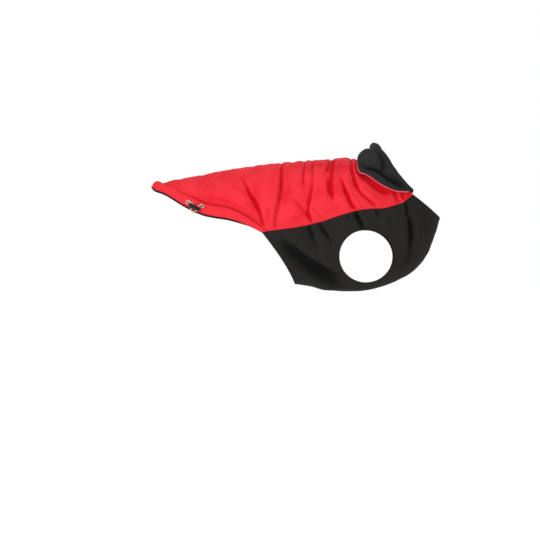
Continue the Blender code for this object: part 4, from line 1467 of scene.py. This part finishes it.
@dataclass(frozen=True)
class ChestPanel:
    """The black soft-shell panel under chest and belly, with its two armholes."""

    lift: float = 0.3
    thick: float = 2.2
    hole_at: tuple[float, float] = (52.0, -190.0)  # x and z of the armhole's middle
    hole_half: tuple[float, float] = (54.0, 52.0)  # its half width and height
    rear: tuple[tuple[float, float], ...] = (  # (x, degrees) knots after the side seam
        (-140.0, 110.0), (-122.0, 123.5), (-108.0, 137.0), (-98.0, 151.0), (-92.5, 165.0),
        (-91.0, 180.0))
    hem_width: float = 6.0  # distance of the stitches from the open edges
    counts: tuple[int, int, int, int] = (152, 30, 78, 44)  # seam, neck, middle, rear
    rings: int = 68

    @cached_property
    def outline(self) -> tuple[Array, Array]:
        """The right half's outline.

        It runs along the side seam, down the neckline, back along the middle and up the
        rear edge.

        Returns:
            Its spots, and True for those on the middle line.
        """
        along, down, back, up = self.counts
        seam = FIGURE.at_shares(CUT.seam_line, np.linspace(0, 1, along + 1))
        neck = CUT.neckline(seam[-1, 1], math.pi, down)
        rear = FIGURE.spaced([seam[0], *knot_spots(self.rear)], up)[::-1]
        halfway = (0.5 * (FIGURE.neck + rear[0, 0]), math.pi)
        middle = FIGURE.spaced([neck[-1], halfway, rear[0]], back)
        spots = FIGURE.shifted(
            np.concatenate([line[:-1] for line in (seam, neck, middle, rear)]),
            -0.5 * CUT.gap)
        on_middle = np.zeros(len(spots), bool)
        on_middle[along + down:along + down + back + 1] = True
        spots[on_middle, 1] = math.pi
        return spots, on_middle

    @cached_property
    def armhole(self) -> Array:
        """The armhole's edge.

        Returns:
            Spots, each in the direction of its spot on the outline.
        """
        off = FIGURE.point(self.outline[0])[:, [0, 2]] - self.hole_at
        turn = np.arctan2(off[:, 1] / self.hole_half[1], off[:, 0] / self.hole_half[0])
        ring = np.stack([np.cos(turn), np.sin(turn)], axis=1)
        return FIGURE.locate(ring * self.hole_half + self.hole_at)

    @cached_property
    def open_edge(self) -> Array:
        """Every open edge of both halves, armholes included.

        Returns:
            Places, one a row.
        """
        spots, on_middle = self.outline
        inside = on_middle & np.roll(on_middle, 1) & np.roll(on_middle, -1)
        places = FIGURE.point(np.concatenate([spots[~inside], self.armhole]))
        return np.concatenate([places, Side.LEFT.put(places)])

    def faces(self, spots: Array) -> tuple[Array, Array, Array]:
        """Heights of the outer and inner face over the figure, and the painted shade.

        Both faces follow the creases, which fade out at the edges, and the outer one has
        a turned hem with a groove along its stitches. The painted shade is deeper in creases
        and deepens low down, where less light falls.

        Args:
            spots: One (s, angle) row a point.

        Returns:
            Outer heights, inner heights and painted shades.
        """
        places = FIGURE.point(spots)
        apart, _ = nearest(places, self.open_edge)
        creases = crease_height(places, CHEST_CREASES)
        calm = smooth_step(apart / 12.0)
        fold = (creases * (0.5 * smooth_step(apart / 4.0) + 0.5 * calm)
                + soft_noise(places, (0.7, 70.0, 21), (0.22, 24.0, 22)) * calm)
        half = 0.5 * self.thick
        middle, round_off = self.lift + half + fold, rounded(apart, 1.2)
        turned_hem = 0.45 * (1 - smooth_step((apart - self.hem_width) / 1.6))
        groove = -0.35 * np.exp(-((apart - self.hem_width) / 1.0) ** 2)
        # painted shade: darker in creases and low down on the belly, where less light falls
        shade = -(creases + 0.4) / 4.5 + 0.3 * smooth_step(-(places[:, 2] + 205) / 50)
        return (middle + (half + turned_hem + groove) * round_off,
                middle - half * round_off, np.clip(shade, 0, 1))

    def build(self) -> None:
        """Builds and dresses the panel and its rows of stitches.

        The right half is a set of rings from the armhole to the outline, closer together
        near both, and the left half is its mirror, joined along the middle line.
        """
        outline, on_middle = self.outline
        out = np.linspace(0, 1, self.rings + 1)
        out = (out - 0.8 * np.sin(2 * np.pi * out) / (2 * np.pi))[:, None, None]
        around = len(outline)
        right = (self.armhole * (1 - out) + outline * out).reshape(-1, 2)
        number = np.arange(len(right))
        last = number[-around:]
        shared = np.isin(number, last[on_middle])
        on_left = np.where(shared, number, len(right) + np.cumsum(~shared) - 1)
        quads = grid_quads(len(out), around, (False, True))
        border = (number < around) | (number >= last[0])
        border[last[on_middle][1:-1]] = False
        spots = np.concatenate([right, mirrored(right)[~shared]])
        piece = add_cloth("chest_soft_shell", spots, self.faces(spots),
                          np.concatenate([quads, on_left[quads][:, ::-1]]),
                          np.concatenate([border, border[~shared]]), like_sides=True)
        enrol(piece, CHEST_FINISH, "chest", "chest_panel")
        self.sew()

    def sew(self) -> None:
        """Lays stitches round the armholes, along the rear edge and along the neckline."""
        spots, _ = self.outline
        along, down, back, _ = self.counts
        rear = np.concatenate([spots[along + down + back:], spots[:1]])
        rear = FIGURE.at_shares(rear, np.linspace(0.02, 1.0, 400))[::-1]
        neck = FIGURE.at_shares(spots[along:along + down + 1], np.linspace(0.04, 1.0, 300))
        hole = np.concatenate([self.armhole, self.armhole[:1]])
        hole = FIGURE.at_shares(hole, np.linspace(0, 1, 700))
        for name, line, sign in (("rear_edge", rear, 1), ("neckline", neck, -1),
                                 ("armhole", hole, 1)):
            row = FIGURE.shifted(line, sign * self.hem_width, closed=False)
            places = FIGURE.lifted(row, self.faces(row)[0] + 0.1)
            for side in Side:
                STITCHES.add(f"{name}_stitches_{side.word}", side.put(places),
                             side.put(FIGURE.outward(row)), BLACK_THREAD, "chest")


@dataclass(frozen=True)
class Collar:
    """The turned-down collar with its round piping."""

    table: Array  # degrees, stand, roll, x and degrees of the fall's edge, bulge, pinch
    thick: float = 4.0
    tip_thick: float = 1.6
    lean: float = 0.10  # how much the stand leans in
    clear: float = 1.2  # room between the fall and the back panel
    pinch_at: float = 0.29  # where the fall is pinched, as a share of its length
    pinch_wide: float = 0.13
    base_lift: float = 0.6  # from the neckline to the collar's lower edge
    sewn: float = 1.1  # how far the stand's outer face lies into the panels' edge
    rounding: float = 1.4  # radius of its edges
    piping: float = 2.8  # diameter of the piping
    half: int = 84  # rows from the middle to a tip
    steps: tuple[int, int, int] = (14, 14, 34)  # up the stand, round the roll, down the fall

    @cached_property
    def rows(self) -> Array:
        """The table's values at each row of the collar.

        Returns:
            One row for each, from the right tip to the left one.
        """
        share = np.linspace(0, 1, self.half + 1)
        share = share + 0.12 * np.sin(2 * np.pi * share) / (2 * np.pi)
        last = len(self.table) - 1
        half = cubic(np.arange(last + 1), self.table, share / share[-1] * last)
        left = half * np.array([-1, 1, 1, 1, -1, 1, 1])
        return np.concatenate([half[::-1], left[1:]])

    def fall_edge(self, x: Array, angle: Array, lift: Array) -> Array:
        """Places of the fall's edge over the back panel, by Newton steps along s.

        Args:
            x: Where the edge is seen from the side.
            angle: Angles round the figure.
            lift: Heights over it.

        Returns:
            One place a row.
        """
        spots = np.stack([np.full(len(x), FIGURE.neck - 60.0), angle], axis=1)
        for _ in range(12):
            here = FIGURE.point(spots)[:, 0]
            slope = (FIGURE.point(spots + (0.5, 0.0))[:, 0] - here) / 0.5
            spots[:, 0] = np.clip(spots[:, 0] + (x - here) / slope, 0, FIGURE.neck)
        return FIGURE.lifted(spots, lift)

    @cached_property
    def sheets(self) -> tuple[Array, Array, Array]:
        """The collar's two faces.

        Each row is one section: up the stand, half round the roll, and down a Bezier line
        to the fall's edge, pinched in under the roll. The faces lie half the thickness to
        either side of it.

        Returns:
            Places of the two faces, row by row, and the painted shade of the dents.
        """
        degrees, height, radius, edge_x, edge_degrees, bulge, pinch = self.rows.T
        share = height / self.table[0, 1]
        thick = self.tip_thick + (self.thick - self.tip_thick) * np.minimum(1, 1.6 * share)
        back_top = (BackPanel.lift + BackPanel.edge
                    + BackPanel.puff * np.minimum(1, 2 * share))
        neck = np.full(len(degrees), FIGURE.neck)
        base = FIGURE.point(np.stack([neck, np.radians(degrees)], axis=1))
        edge = self.fall_edge(edge_x, np.radians(edge_degrees),
                              back_top + self.clear + thick / 2)
        top, low = FIGURE.point(np.array([(FIGURE.neck, 0.0), (FIGURE.neck, math.pi)]))
        across = unit(low - top)
        up = np.zeros_like(base) + (-across[2], 0.0, across[0])
        up[:, 1] -= base[:, 1] / FIGURE.rings[-1, 4] * self.lean
        up = unit(up)
        out = edge - base
        out = unit(out - up * dot(out, up)[:, None])
        base = base + up * self.base_lift - out * (thick / 2 - self.sewn)[:, None]
        end = np.stack([dot(edge - base, up), dot(edge - base, out)], axis=-1)
        line = self.section(height, radius, bulge, pinch, end)
        tangent = unit(np.gradient(line, axis=1))
        up, out = up[:, None], out[:, None]
        places = base[:, None] + line[..., :1] * up + line[..., 1:] * out
        normal = tangent[..., :1] * out - tangent[..., 1:] * up
        step = np.linalg.norm(np.diff(line, axis=1), axis=2)
        run = np.pad(np.cumsum(step, axis=1), ((0, 0), (1, 0)))
        row_run = run_of(base + up[:, 0] * 10.0)[:, None]
        apart = np.minimum(np.minimum(run, run[:, -1:] - run),
                           np.minimum(row_run, row_run[-1] - row_run))
        round_off = rounded(apart, self.rounding)
        round_off[outer_points(*apart.shape).reshape(apart.shape)] = 0.0
        flat, size = places.reshape(-1, 3), apart.shape
        soft = soft_noise(flat, (1.0, 46.0, 31), (0.4, 19.0, 32)).reshape(size)
        dents = crease_height(flat, COLLAR_CREASES).reshape(size)
        move = (soft * smooth_step(apart / 14.0) * smooth_step(height / 26.0)[:, None]
                + dents * smooth_step(apart / 6.0)
                * smooth_step((height - 4.0) / 18.0)[:, None])
        places = places - normal * move[..., None]
        half = 0.5 * (thick[:, None] * round_off)[..., None]
        # the third value is painted shade, darker in the dents
        return (places + normal * half, places - normal * half,
                np.clip(-(dents + 0.5) / 4.0, 0, 1))

    def section(self, height: Array, radius: Array, bulge: Array, pinch: Array,
                end: Array) -> Array:
        """The section's line in its own plane.

        Args:
            height: Height of each row's stand.
            radius: Radius of its roll.
            bulge: How far its fall swells out.
            pinch: How far the fall is pinched in.
            end: The fall's edge as (up, out).

        Returns:
            (up, out) pairs for each row.
        """
        top = np.maximum(height - radius, 0.5 * height)[:, None]
        radius = radius[:, None]
        climb = refined(self.steps[0], 40.0, (0.4, 1.0))[:-2]
        rise = top * climb / climb[-1]
        stand = np.stack([rise, np.zeros_like(rise)], axis=-1)
        turn = np.linspace(0, math.pi, self.steps[1] + 1)[None, 1:]
        roll = np.stack([top + radius * np.sin(turn), radius * (1 - np.cos(turn))], axis=-1)
        start = roll[:, -1]
        pull = np.linalg.norm(end - start, axis=1)
        down = refined(self.steps[2], 40.0, (0.4, 1.0))[2:]
        f = ((down - down[0]) / (down[-1] - down[0]))[None, 1:, None]
        first = start - pull[:, None] * (0.34, 0.0)
        second = start + (end - start) * 0.72 + bulge[:, None] * np.array([0.6, 1.3])
        start, first, second, end = (p[:, None] for p in (start, first, second, end))
        fall = (start * (1 - f) ** 3 + 3 * first * f * (1 - f) ** 2
                + 3 * second * f * f * (1 - f) + end * f ** 3)
        fall[..., 1] -= pinch[:, None] * np.exp(
            -((f[..., 0] - self.pinch_at) / self.pinch_wide) ** 2)
        return np.concatenate([stand, roll, fall], axis=1)

    def build(self) -> None:
        """Builds and dresses the collar, its piping and its edge stitches."""
        inner, outer, shade = self.sheets
        size = rows, columns = shade.shape
        uv = np.stack(np.meshgrid(run_of(inner[:, columns // 2]), run_of(inner[rows // 2]),
                                  indexing="ij"), axis=-1).reshape(-1, 2) * MM
        piece = add_wall("collar_turned", inner.reshape(-1, 3), outer.reshape(-1, 3),
                         grid_quads(*size), outer_points(*size), uv, shade.ravel())
        enrol(piece, COLLAR_FINISH, "collar", "collar")
        edge = 0.5 * (inner[:, -1] + outer[:, -1])
        inward = unit(inner[:, -6] + outer[:, -6] - 2 * edge)
        line = edge - inward * (0.5 * self.piping + 0.12)
        enrol(add_tube("piping_round", smooth_line(line, 420), 0.5 * self.piping),
              PIPING_FINISH, "piping", "collar_piping")
        row = outer[5:-5, -6]
        out = unit(row - inner[5:-5, -6])
        STITCHES.add("collar_stitches", row + out * 0.05, out, BLACK_THREAD, "collar")


COLLAR = Collar(np.array([
    # degrees stand roll edge_x edge_degrees bulge pinch
    (0.0, 47.5, 5.2, 34.0, 0.0, 6.0, 5.0),
    (20.0, 45.5, 5.2, 33.5, 16.0, 6.0, 4.5),
    (38.0, 39.5, 5.4, 33.5, 31.0, 5.5, 2.5),
    (50.0, 33.5, 5.8, 38.0, 41.0, 5.0, 0.8),
    (60.0, 27.0, 5.9, 51.0, 45.5, 5.0, 0.0),
    (70.0, 21.0, 5.6, 67.0, 55.0, 4.0, 0.0),
    (80.0, 15.0, 5.3, 86.0, 67.5, 3.0, 0.0),
    (90.0, 10.5, 4.9, 106.0, 80.0, 2.0, 0.0),
    (98.0, 7.5, 4.5, 121.0, 89.0, 1.0, 0.0),
    (103.0, 6.0, 4.1, 134.0, 97.0, 0.4, 0.0),
]))


# ---- Hem hardware -------------------------------------------------------------------

@dataclass(frozen=True)
class Seat:
    """A place on the casing's crown with axes along the hem, down over it and out."""

    origin: Array
    axes: Array  # three unit vectors, one a row

    def put(self, points: Array) -> Array:
        """Points in the seat's axes as places on the right side."""
        return points @ self.axes + self.origin


@dataclass(frozen=True)
class HemHardware:
    """Eyelets, cord lock and cord on each side of the hem."""

    lock_at: tuple[float, float] = (-289.5, -94.5)  # x and z
    eyelets: tuple[tuple[str, float, float], ...] = (  # name, x and z
        ("rear", -303.0, -83.4), ("front", -275.0, -91.0))
    slope: float = math.radians(25.0)  # of the lock
    crown: float = 7.4  # height of the casing's crown over the figure
    seat: float = 0.5  # hard parts over the crown
    lock: tuple[float, float, float] = (21.0, 8.6, 7.6)  # length, depth and height
    bore: float = 3.4
    bores_apart: float = 12.6
    button: tuple[float, float] = (4.0, 6.2)  # length and diameter
    cord: float = 2.4
    loop: float = 5.0  # how far the cord's loop hangs below the lock
    easing: int = 30
    ring_profile: tuple[tuple[float, float], ...] = (
        (2.40, 0.00), (4.20, 0.00), (4.55, 0.15), (4.70, 0.50), (4.62, 0.90), (4.30, 1.28),
        (3.85, 1.52), (3.50, 1.58), (3.15, 1.52), (2.78, 1.28), (2.52, 0.95), (2.40, 0.60))
    shade_disc_profile: tuple[tuple[float, float], ...] = (
        (0.02, 0.0), (2.3, 0.0), (2.3, 0.18), (0.02, 0.18))

    def seat_at(self, x: float, z: float) -> Seat:
        """A seat on the casing's crown.

        Args:
            x: Where it is seen from the right side.
            z: Its height.

        Returns:
            The seat.
        """
        spot = FIGURE.locate([(x, z)], self.crown)[0]
        out = FIGURE.outward(spot)
        along = np.array([math.cos(self.slope), 0.0, -math.sin(self.slope)])
        along = unit(along - out * (along @ out))
        return Seat(FIGURE.lifted(spot, self.crown),
                    np.stack([along, np.cross(along, out), out]))

    def route(self, lock: Seat, rear: Seat, front: Seat) -> Array:
        """The cord's own places on the right: out of one eyelet, through the lock, back.

        Args:
            lock: The lock's seat.
            rear: The rear eyelet's seat.
            front: The front eyelet's seat.

        Returns:
            Places in millimetres.
        """
        bore, edge = self.bores_apart / 2, self.lock[1] / 2
        half = [(bore, -edge - 1.0), (bore, 0.0), (bore, edge + 0.6),
                (0.55 * bore, edge + 0.85 * self.loop)]
        flat = [*((-x, y) for x, y in half), (0.0, edge + self.loop), *half[::-1]]
        middle = lock.put(np.array([(*pair, self.seat + self.lock[2] / 2) for pair in flat]))
        ends = []
        for seat, first in ((rear, middle[0]), (front, middle[-1])):
            out = seat.axes[2]
            start = seat.origin + out * (self.seat + 0.1)
            rise = seat.origin + out * (self.seat + 2.6) + (first - seat.origin) * 0.06
            over = seat.origin * 0.62 + first * 0.38 + out * 2.2 - lock.axes[1] * 1.2
            ends.append([start, rise, over])
        return eased(smooth_line(np.array([*ends[0], *middle, *ends[1][::-1]]), 120),
                     self.easing)

    def build(self) -> None:
        """Builds both sides' hardware."""
        lock = self.seat_at(*self.lock_at)
        seats = {name: self.seat_at(x, z) for name, x, z in self.eyelets}
        route = self.route(lock, seats["rear"], seats["front"])
        for side in Side:
            for name, seat in seats.items():
                self.build_eyelet(f"{name}_{side.word}", seat, side)
            self.build_lock(lock, side)
            self.build_cord(side.put(route), side)

    def build_eyelet(self, name: str, seat: Seat, side: Side) -> None:
        """Builds a rolled eyelet and, under it, a dark disc of painted shade for its hole.

        Args:
            name: The eyelet's place and side.
            seat: Its seat on the right side.
            side: The side to build on.
        """
        # the second piece is a dark disc of painted shade in the eyelet's hole
        for piece, profile, below, sides, finish, slot, nodes in (
                ("eyelet_", self.ring_profile, 0.35, 48, EYELET_FINISH, "eyelet",
                 (f"hem_eyelet_{name}",)),
                ("eyelet_hole_shade_", self.shade_disc_profile, 0.30, 24, HOLE_SHADE_FINISH, "casing", ())):
            points, quads = turned(np.array(profile) + (0.0, self.seat - below), sides)
            enrol(add_mesh(piece + name, side.put(seat.put(points)), quads), finish, slot,
                  *nodes)

    def build_lock(self, seat: Seat, side: Side) -> None:
        """Builds the lock's waisted body with its two bores, and its push button.

        Args:
            seat: The lock's seat on the right side.
            side: The side to build on.
        """
        high = self.seat + self.lock[2] / 2
        long, wide = self.button
        shift = np.array([-long / 2, 0.0, high])
        half = np.array(self.lock) / 2
        points, quads = rounded_box(half, 0.42, 64, 40)
        points[:, 1:] *= 1 - 0.05 * np.exp(-(points[:, :1] / half[0] / 0.10) ** 2)
        body = add_mesh("lock_form", side.put(seat.put(points + shift)), quads)
        drills = [add_tube("drill", side.put(seat.put(np.array(
            [(x, y, high) for y in (-self.lock[1], 0.0, self.lock[1])]))), self.bore / 2, 28)
            for x in (-self.bores_apart / 2, self.bores_apart / 2)]
        enrol(cut_out(f"cord_lock_body_{side.word}", body, drills), LOCK_FINISH, "lock",
              f"cord_lock_{side.word}")
        points, quads = self.button_form(long, wide / 2)
        shift = shift + (half[0] + long / 2 + 0.1, 0, 0)
        button = add_mesh(f"lock_button_{side.word}", side.put(seat.put(points + shift)),
                          quads)
        enrol(button, LOCK_FINISH, "button", f"cord_lock_button_{side.word}")

    @staticmethod
    def button_form(long: float, radius: float) -> tuple[Array, Array]:
        """A turned push button along the first axis, with grip rings and a rounded end.

        Args:
            long: Its length.
            radius: Its radius.

        Returns:
            Points and quads.
        """
        along = np.linspace(0, 1, 33)
        rings = 1 - 0.07 * (0.5 - 0.5 * np.cos(6 * np.pi * along)) * (along < 0.9)
        end = np.sqrt(1 - np.clip((along - 0.86) / 0.14, 0, 1) ** 2 * 0.75)
        points, quads = turned(np.concatenate([
            [(0.02, -long / 2)],
            np.stack([radius * rings * end, long * (along - 0.5)], axis=1),
            [(0.02, long / 2)]]), 32)
        return points[:, [2, 0, 1]], quads

    def build_cord(self, line: Array, side: Side) -> None:
        """Builds the stretch of elastic cord that shows, from eyelet to eyelet.

        Args:
            line: The cord's places.
            side: The side it is on.
        """
        cord = add_tube(f"elastic_cord_{side.word}", line, self.cord / 2, 16)
        enrol(cord, CORD_FINISH, "cord", f"hem_cord_{side.word}")
        tuple(line[0] * MM)
        (line * MM).tolist()


def rounded_box(half: Array, power: float, around: int, rows: int) -> tuple[Array, Array]:
    """A rounded box as a sphere whose parts are raised to a power below 1.

    Args:
        half: Half sizes.
        power: The power; a smaller one is squarer.
        around: Points round the long axis.
        rows: Rows along it.

    Returns:
        Points and quads of a closed shell.
    """
    tilt = np.linspace(0.02, np.pi - 0.02, rows)[:, None]
    turn = np.linspace(0, 2 * np.pi, around, endpoint=False)
    parts = np.stack([np.cos(tilt) + 0 * turn, np.sin(tilt) * np.cos(turn),
                      np.sin(tilt) * np.sin(turn)], axis=-1)
    return capped(half * np.sign(parts) * np.abs(parts) ** power)


def cut_out(name: str, body: bpy.types.Object,
            drills: list[bpy.types.Object]) -> bpy.types.Object:
    """The body with the drills cut out of it, as a mesh of its own.

    Args:
        name: The new object's name.
        body: What is cut; removed afterwards.
        drills: What is taken away; removed afterwards.

    Returns:
        The new object.
    """
    for drill in drills:
        cut = body.modifiers.new("bore", "BOOLEAN")
        cut.operation, cut.solver, cut.object = "DIFFERENCE", "EXACT", drill
    bpy.context.view_layer.update()
    graph = bpy.context.evaluated_depsgraph_get()
    mesh = bpy.data.meshes.new_from_object(body.evaluated_get(graph), depsgraph=graph)
    mesh.name = name
    mesh.materials.clear()
    mesh.polygons.foreach_set("use_smooth", np.ones(len(mesh.polygons), bool))
    mesh.set_sharp_from_angle(angle=math.radians(40))
    for tool in (body, *drills):
        bpy.data.objects.remove(tool, do_unlink=True)
    return linked(name, mesh)


# ---- Studio -------------------------------------------------------------------------

@dataclass(frozen=True)
class Lamp:
    """A square soft light, in metres and watts."""

    name: str
    place: tuple[float, float, float]
    target: tuple[float, float, float]
    size: float
    power: float

    def add(self) -> None:
        """Adds the light to the scene."""
        light = bpy.data.lights.new(self.name, "AREA")
        light.shape, light.size, light.energy = "SQUARE", self.size, self.power
        lamp = linked(self.name, light)
        lamp.location = self.place
        x, y, z = np.array(self.target) - np.array(self.place)
        lamp.rotation_euler = (math.atan2(math.hypot(x, y), -z), 0.0,
                               math.atan2(y, x) - math.pi / 2)


@dataclass(frozen=True)
class Studio:
    """The pale floor, the backdrop, the lights and the camera, in metres."""

    floor: float = -0.54
    frame_centre: tuple[float, float] = (-0.140, -0.218)  # x and z of the frame's middle
    frame_width: float = 1.08  # what the frame takes in across, at the jacket
    distance: float = 12.0  # from the camera to the jacket's middle plane
    sky: float = 0.27  # brightness of the world overhead
    reach: float = 40.0  # half the side of the floor
    lamps: tuple[Lamp, ...] = (
        Lamp("key_light", (-2.3, -2.9, 2.5), (-0.1, 0.0, -0.1), 2.0, 124.0),
        Lamp("fill_light", (2.6, -3.0, 0.6), (-0.1, 0.0, -0.15), 2.4, 12.0),
        Lamp("top_light", (-0.2, 0.5, 3.0), (-0.1, 0.0, -0.1), 2.4, 24.0),
        Lamp("far_light", (1.4, 3.4, 1.7), (-0.1, 0.0, -0.1), 2.4, 60.0),
    )

    def build(self) -> None:
        """Builds the studio."""
        self.add_camera()
        self.add_floor()
        for lamp in self.lamps:
            lamp.add()
        scene = bpy.context.scene
        scene.world = scene.world or bpy.data.worlds.new("studio")
        scene.world.use_nodes = True
        self.add_sky(scene.world.node_tree)
        scene.view_settings.view_transform = "Standard"

    def add_sky(self, tree: bpy.types.NodeTree) -> None:
        """Makes the world white near the horizon and dimmer above, for soft shadows.

        Args:
            tree: The world's node tree.
        """
        sky = Nodes(tree)
        way = sky.node("TexCoord", output="Generated")
        up = sky.node("SeparateXYZ", {}, {"Vector": way}, "Z")
        colour = sky.blend(((up - 0.10) * 8.0).kept(), (1.0,) * 3, (self.sky,) * 3)
        sky.plug(tree.nodes["Background"].inputs, {"Color": colour})

    def add_camera(self) -> None:
        """Adds the camera at the photograph's side view."""
        camera = bpy.data.cameras.new("camera")
        camera.sensor_width = 36.0
        camera.lens = camera.sensor_width * self.distance / self.frame_width
        camera.clip_end = 200.0
        seen = linked("camera", camera)
        x, z = self.frame_centre
        seen.location = (x, -self.distance, z)
        seen.rotation_euler = (math.pi / 2, 0.0, 0.0)
        bpy.context.scene.camera = seen

    def add_floor(self) -> None:
        """Adds the plain pale floor, which glows far from the jacket to read as white."""
        side = np.linspace(-self.reach, self.reach, 3) / MM
        x, y = np.meshgrid(side, side)
        points = np.stack([x, y, np.full_like(x, self.floor / MM)], axis=-1)
        floor = add_mesh("floor", points.reshape(-1, 3), grid_quads(3, 3), closed=False)
        shader = Shader("pale_floor")
        where = shader.node("TexCoord", output="Object")
        far = shader.node("VectorMath", {"operation": "LENGTH"}, {0: where}, "Value")
        glow = shader.node("MapRange", {"interpolation_type": "SMOOTHERSTEP"},
                           {"Value": far, "From Min": 0.8, "From Max": 4.5})
        shader.feed({
            "Base Color": shader.blend(shader.noise(3.0) * 0.3, (0.82,) * 3, (0.79,) * 3),
            "Roughness": 0.95, "Specular IOR Level": 0.0, "Emission Strength": 1.0,
            "Emission Color": shader.blend(glow, (0.46,) * 3, (0.80,) * 3)})
        floor.data.materials.append(shader.material)


def main() -> None:
    """Builds the studio and every piece of the jacket."""
    logging.basicConfig(level=logging.INFO, format="%(name)s %(message)s")
    for part in (Studio(), BackLining(), BackPanel(), HemCasing(), ChestPanel(), COLLAR,
                 HemHardware()):
        part.build()


if __name__ == "__main__":
    main()
